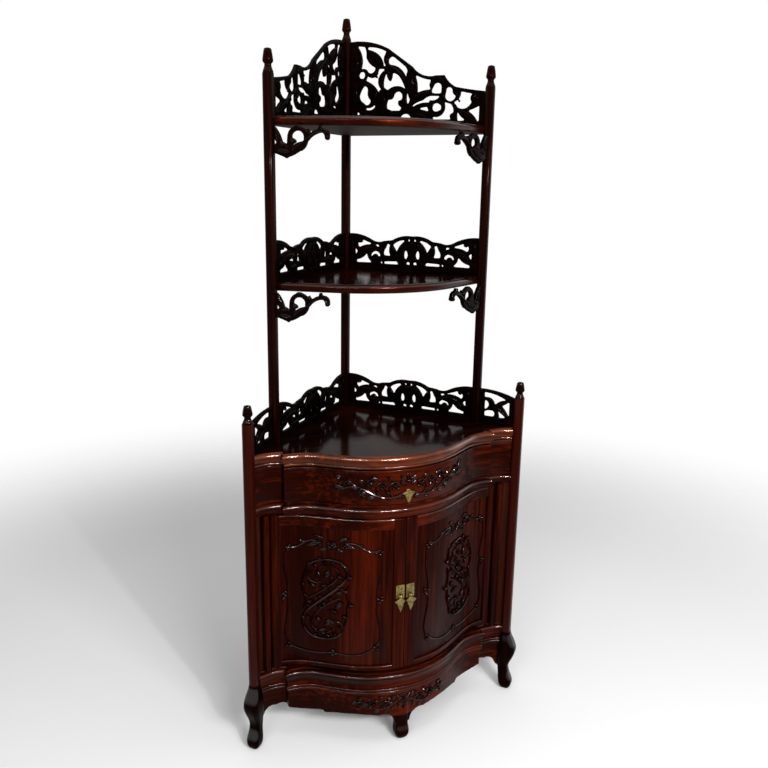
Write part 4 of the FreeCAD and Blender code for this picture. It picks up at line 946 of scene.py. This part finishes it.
spray = {
    "stems": [
        ([(18, 122), (36, 108), (56, 99), (78, 103), (94, 116), (110, 126),
         (124, 120)], 3, 4.4, 0.7),
        ([(60, 101), (68, 116), (56, 128), (42, 122)], 2.4, 4.2, 0.7),
        ([(96, 118), (108, 106), (122, 104)], 2.4, 4.2, 0.7),
    ],
    "leaves": [
        ((20, 126), (32, 142), 13, -2, 5), ((34, 110), (24, 94), 12, 2, 5),
        ((52, 102), (42, 90), 11, 2, 5), ((64, 104), (82, 92), 12, -2, 5),
        ((70, 116), (80, 132), 12, 2, 5), ((96, 118), (88, 138), 12, 2, 5),
        ((100, 120), (118, 108), 11, -2, 5), ((118, 122), (136, 116), 11, 2, 5),
        ((44, 124), (32, 136), 11, -2, 5), ((110, 124), (122, 138), 11, 2, 5),
        ((28, 116), (44, 118), 11, 0, 5), ((56, 132), (68, 140), 10, 0, 5),
    ],
    "rosettes": [((86, 114), 12, 5, 6), ((50, 114), 11, 5, 5.5), ((112, 116), 9, 5, 5.5)],
    "buds": [((124, 121), 4.5, 6), ((42, 122), 4.5, 6), ((122, 104), 4, 5.5), ((70, 126), 4.5, 6),
             ((30, 104), 4.5, 6)],
}
sprayMiddle = {
    "leaves": [((0, 122), (0, 144), 14, 0, 5), ((-3, 122), (-19, 140), 12, 2, 5),
               ((3, 122), (19, 140), 12, -2, 5), ((-3, 118), (-17, 102), 12, 0, 5),
               ((3, 118), (17, 102), 12, 0, 5), ((0, 116), (0, 92), 12, 0, 5)],
    "rosettes": [((0, 120), 11, 6, 6)],
}
apronBoard = {
    "blendHalf": 0.06,     # half width of the part that flows into the middle foot
    "footTop": 0.075,
    "footHalf": 0.05,
    "endFrom": 0.356,
    "endReach": 0.0025,    # how far each end runs into its corner foot
}


def intoFoot(spot):
    if abs(spot.x) < apronBoard["endFrom"]:
        return spot
    return spot + Vector((math.copysign(apronBoard["endReach"], spot.x), 0, 0))


def carveApron():
    right = carving(spray, "sprayRight")
    left = mirrored(right, "sprayLeft")
    middle = carving(sprayMiddle, "sprayMiddle")
    wings = joinPieces([right, left], "apronCarving")
    for piece, nodeName in ((wings, "apron"), (middle, "foot_centre")):
        drape(piece, nodeName)
        finishCarving(piece, "cabinet", woods["carvedWood"])
    board = carvedCopy(["apron", "foot_centre"], "apronBoard", woods["frontWood"], 0)
    blend(board, lambda spot: abs(spot.x) < apronBoard["blendHalf"])
    moveEach(board, intoFoot)
    smooth(board)
    finishCarving(board, "cabinet", woods["frontWood"])
    # The lowest faces over the middle foot take the near-black foot finish: painted shade
    board.data.materials.append(woods["footWoodPaintedShade"])
    for face in board.data.polygons:
        low = face.center.z < apronBoard["footTop"] and abs(face.center.x) < apronBoard["footHalf"]
        face.material_index = 1 if low else 0
    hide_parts("apron", "foot_centre")


carveApron()
print("apron carved")

# Galleries: leaf blades on the room side of each pierced board, as (along the wall, up)

gallery = {
    "thick": 9,
    "housing": 3,     # depth of the rail in the shelf's groove
    "run": 411.5,
    "top": {
        "leaves": [((22, 128), (24, 206), 30, -2), ((114, 155), (65, 200), 21, -2),
                   ((123, 146), (110, 98), 13, -11), ((128, 143), (132, 120), 9, 0),
                   ((188, 152), (197, 58), 25, -2), ((106, 98), (107, 22), 32, 0),
                   ((62, 114), (98, 70), 18, 6), ((198, 67), (255, 87), 15, 2),
                   ((254, 120), (288, 113), 15, 0), ((196, 46), (250, 60), 9, 2),
                   ((328, 40), (378, 8), 15, 0), ((374, 82), (374, 50), 14, 0),
                   ((128, 40), (176, 42), 14, -6), ((22, 118), (28, 52), 22, 2),
                   ((204, 32), (252, 12), 16, 0)],
        "stems": [([(127, 194), (116, 174), (122, 155), (148, 147), (170, 126),
                   (181, 98)], 5.5, 2.6, 0.8),
                  ([(96, 128), (86, 133), (74, 132)], 3, 2.4, 0.8),
                  ([(60, 146), (49, 149), (37, 142), (36, 128), (46, 122), (58, 124)], 3, 2.2, 1),
                  ([(284, 122), (284, 98), (284, 74), (294, 58), (318, 58),
                   (324, 44)], 3.6, 2.4, 0.8),
                  ([(262, 122), (248, 106), (252, 90)], 3, 2.2, 0.8),
                  ([(281, 40), (268, 31), (254, 38), (251, 50), (260, 61), (274, 62),
                   (283, 52)], 3, 2.2, 1),
                  ([(322, 92), (318, 76), (332, 60)], 3, 2.2, 0.8)],
        "buds": [((92, 138), 6, 4), ((252, 106), 4, 4), ((320, 44), 6, 4)],
    },
    "low": {
        "leaves": [((38, 42), (112, 58), 19, 6), ((144, 76), (152, 30), 15, 0),
                   ((190, 84), (172, 30), 15, -5), ((76, 30), (120, 34), 9, 0),
                   ((24, 88), (24, 30), 12, 0)],
        "stems": [([(111, 80), (114, 62), (115, 46), (120, 32)], 3.6, 2.4, 0.8),
                  ([(16, 92), (48, 92), (84, 79), (112, 76)], 2.6, 2, 0.8)],
        "buds": [((47, 80), 5, 4), ((116, 56), 5, 4)],
    },
    "lens": {"leaves": [((205.75, 26), (205.75, 84), 20, 0)]},
    "end": {
        "leaves": [((54, 49), (98, 72), 11, 2), ((58, 54), (92, 26), 10, 0)],
        "stems": [([(26, 74), (44, 66), (45, 50), (27, 41)], 2.8, 2.2, 0.8)],
        "buds": [((54, 50), 5, 4)],
    },
}
galleryRuns = [
    ("top_gallery", "topGallery", 0), ("middle_gallery", "middleGallery", 0),
    ("base_gallery", "baseGallery", 0), ("base_gallery_end", "baseGalleryEnd", gallery["run"]),
]
diagonal = math.sqrt(0.5)


def galleryRelief(nodeName):
    if nodeName.startswith("top"):
        return carving(gallery["top"], "relief")
    if "end" in nodeName:
        return carving(gallery["end"], "relief")
    half = carving(gallery["low"], "half")
    other = mirrored(half, "otherHalf")
    other.data.transform(Matrix.Translation((gallery["run"], 0, 0)))
    return joinPieces([half, other, carving(gallery["lens"], "lens")], "relief")


def onWall(point, start, level, sign):
    along = (point.x + start) * millimetre
    inward = (point.z + gallery["thick"] / 2) * millimetre
    x, y = sign * (along - inward) * diagonal, cornerY - (along + inward) * diagonal
    return Vector((x, y, level + point.y * millimetre))


def carveGalleries():
    for nodeName, newName, start in galleryRuns:
        for side, sign in (("left", -1), ("right", 1)):
            name = f"{nodeName}_{side}"
            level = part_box(name)[0].z + gallery["housing"] * millimetre
            board = carvedCopy([name], newName + side.capitalize(), woods[side + "FretWood"])
            relief = galleryRelief(nodeName)
            moveEach(relief, lambda point: onWall(point, start, level, sign))
            outward(relief)
            relief.data.materials.append(woods[side + "FretWood"])
            piece = joinPieces([board, relief], newName + side.capitalize())
            smooth(piece)
            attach(piece, "cabinet")
            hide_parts(name)


carveGalleries()
print("galleries carved")

# Brackets: leaf blades on both faces, as (along from the post, down from the shelf)

bracket = {
    "thick": 12,
    "turn": 208.5,
    "postReach": 0.291,
    "postHalf": 12,
    "design": {
        "leaves": [((22, -52), (3, -5), 13, 3), ((13, -45), (29, -45), 9, 0),
                   ((37, -33), (52, -38), 9, 0), ((80, -27), (82, -10), 8, 0),
                   ((8, -56), (40, -60), 12, -2), ((40, -60), (72, -36), 12, 2)],
        "stems": [([(70, -38), (88, -24), (104, -14), (120, -13), (127, -24)], 2.6)],
        "buds": [((127, -27), 5, 3)],
    },
}


def onBracket(point, face, level, sign):
    turn = math.radians(bracket["turn"])
    along = (point.x + bracket["postHalf"]) * millimetre
    out = face * (point.z + bracket["thick"] / 2) * millimetre
    x = bracket["postReach"] + along * math.cos(turn) - out * math.sin(turn)
    y = -bracket["postReach"] + along * math.sin(turn) + out * math.cos(turn)
    return Vector((sign * x, cornerY + y, level + point.y * millimetre))


def carveBrackets():
    for level in ("middle", "top"):
        for side, sign in (("left", -1), ("right", 1)):
            name = f"{level}_bracket_{side}"
            newName = level + "Bracket" + side.capitalize()
            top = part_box(name)[1].z
            parts = [carvedCopy([name], newName, woods["bracketWoodPaintedShade"])]
            for face in (-1, 1):
                blades = carving(bracket["design"], "blades")
                moveEach(blades, lambda point: onBracket(point, face, top, sign))
                outward(blades)
                blades.data.materials.append(woods["bracketWoodPaintedShade"])
                parts.append(blades)
            piece = joinPieces(parts, newName)
            smooth(piece)
            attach(piece, "cabinet")
            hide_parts(name)


carveBrackets()
print("brackets carved")

bpy.data.objects.remove(blankLeaf)
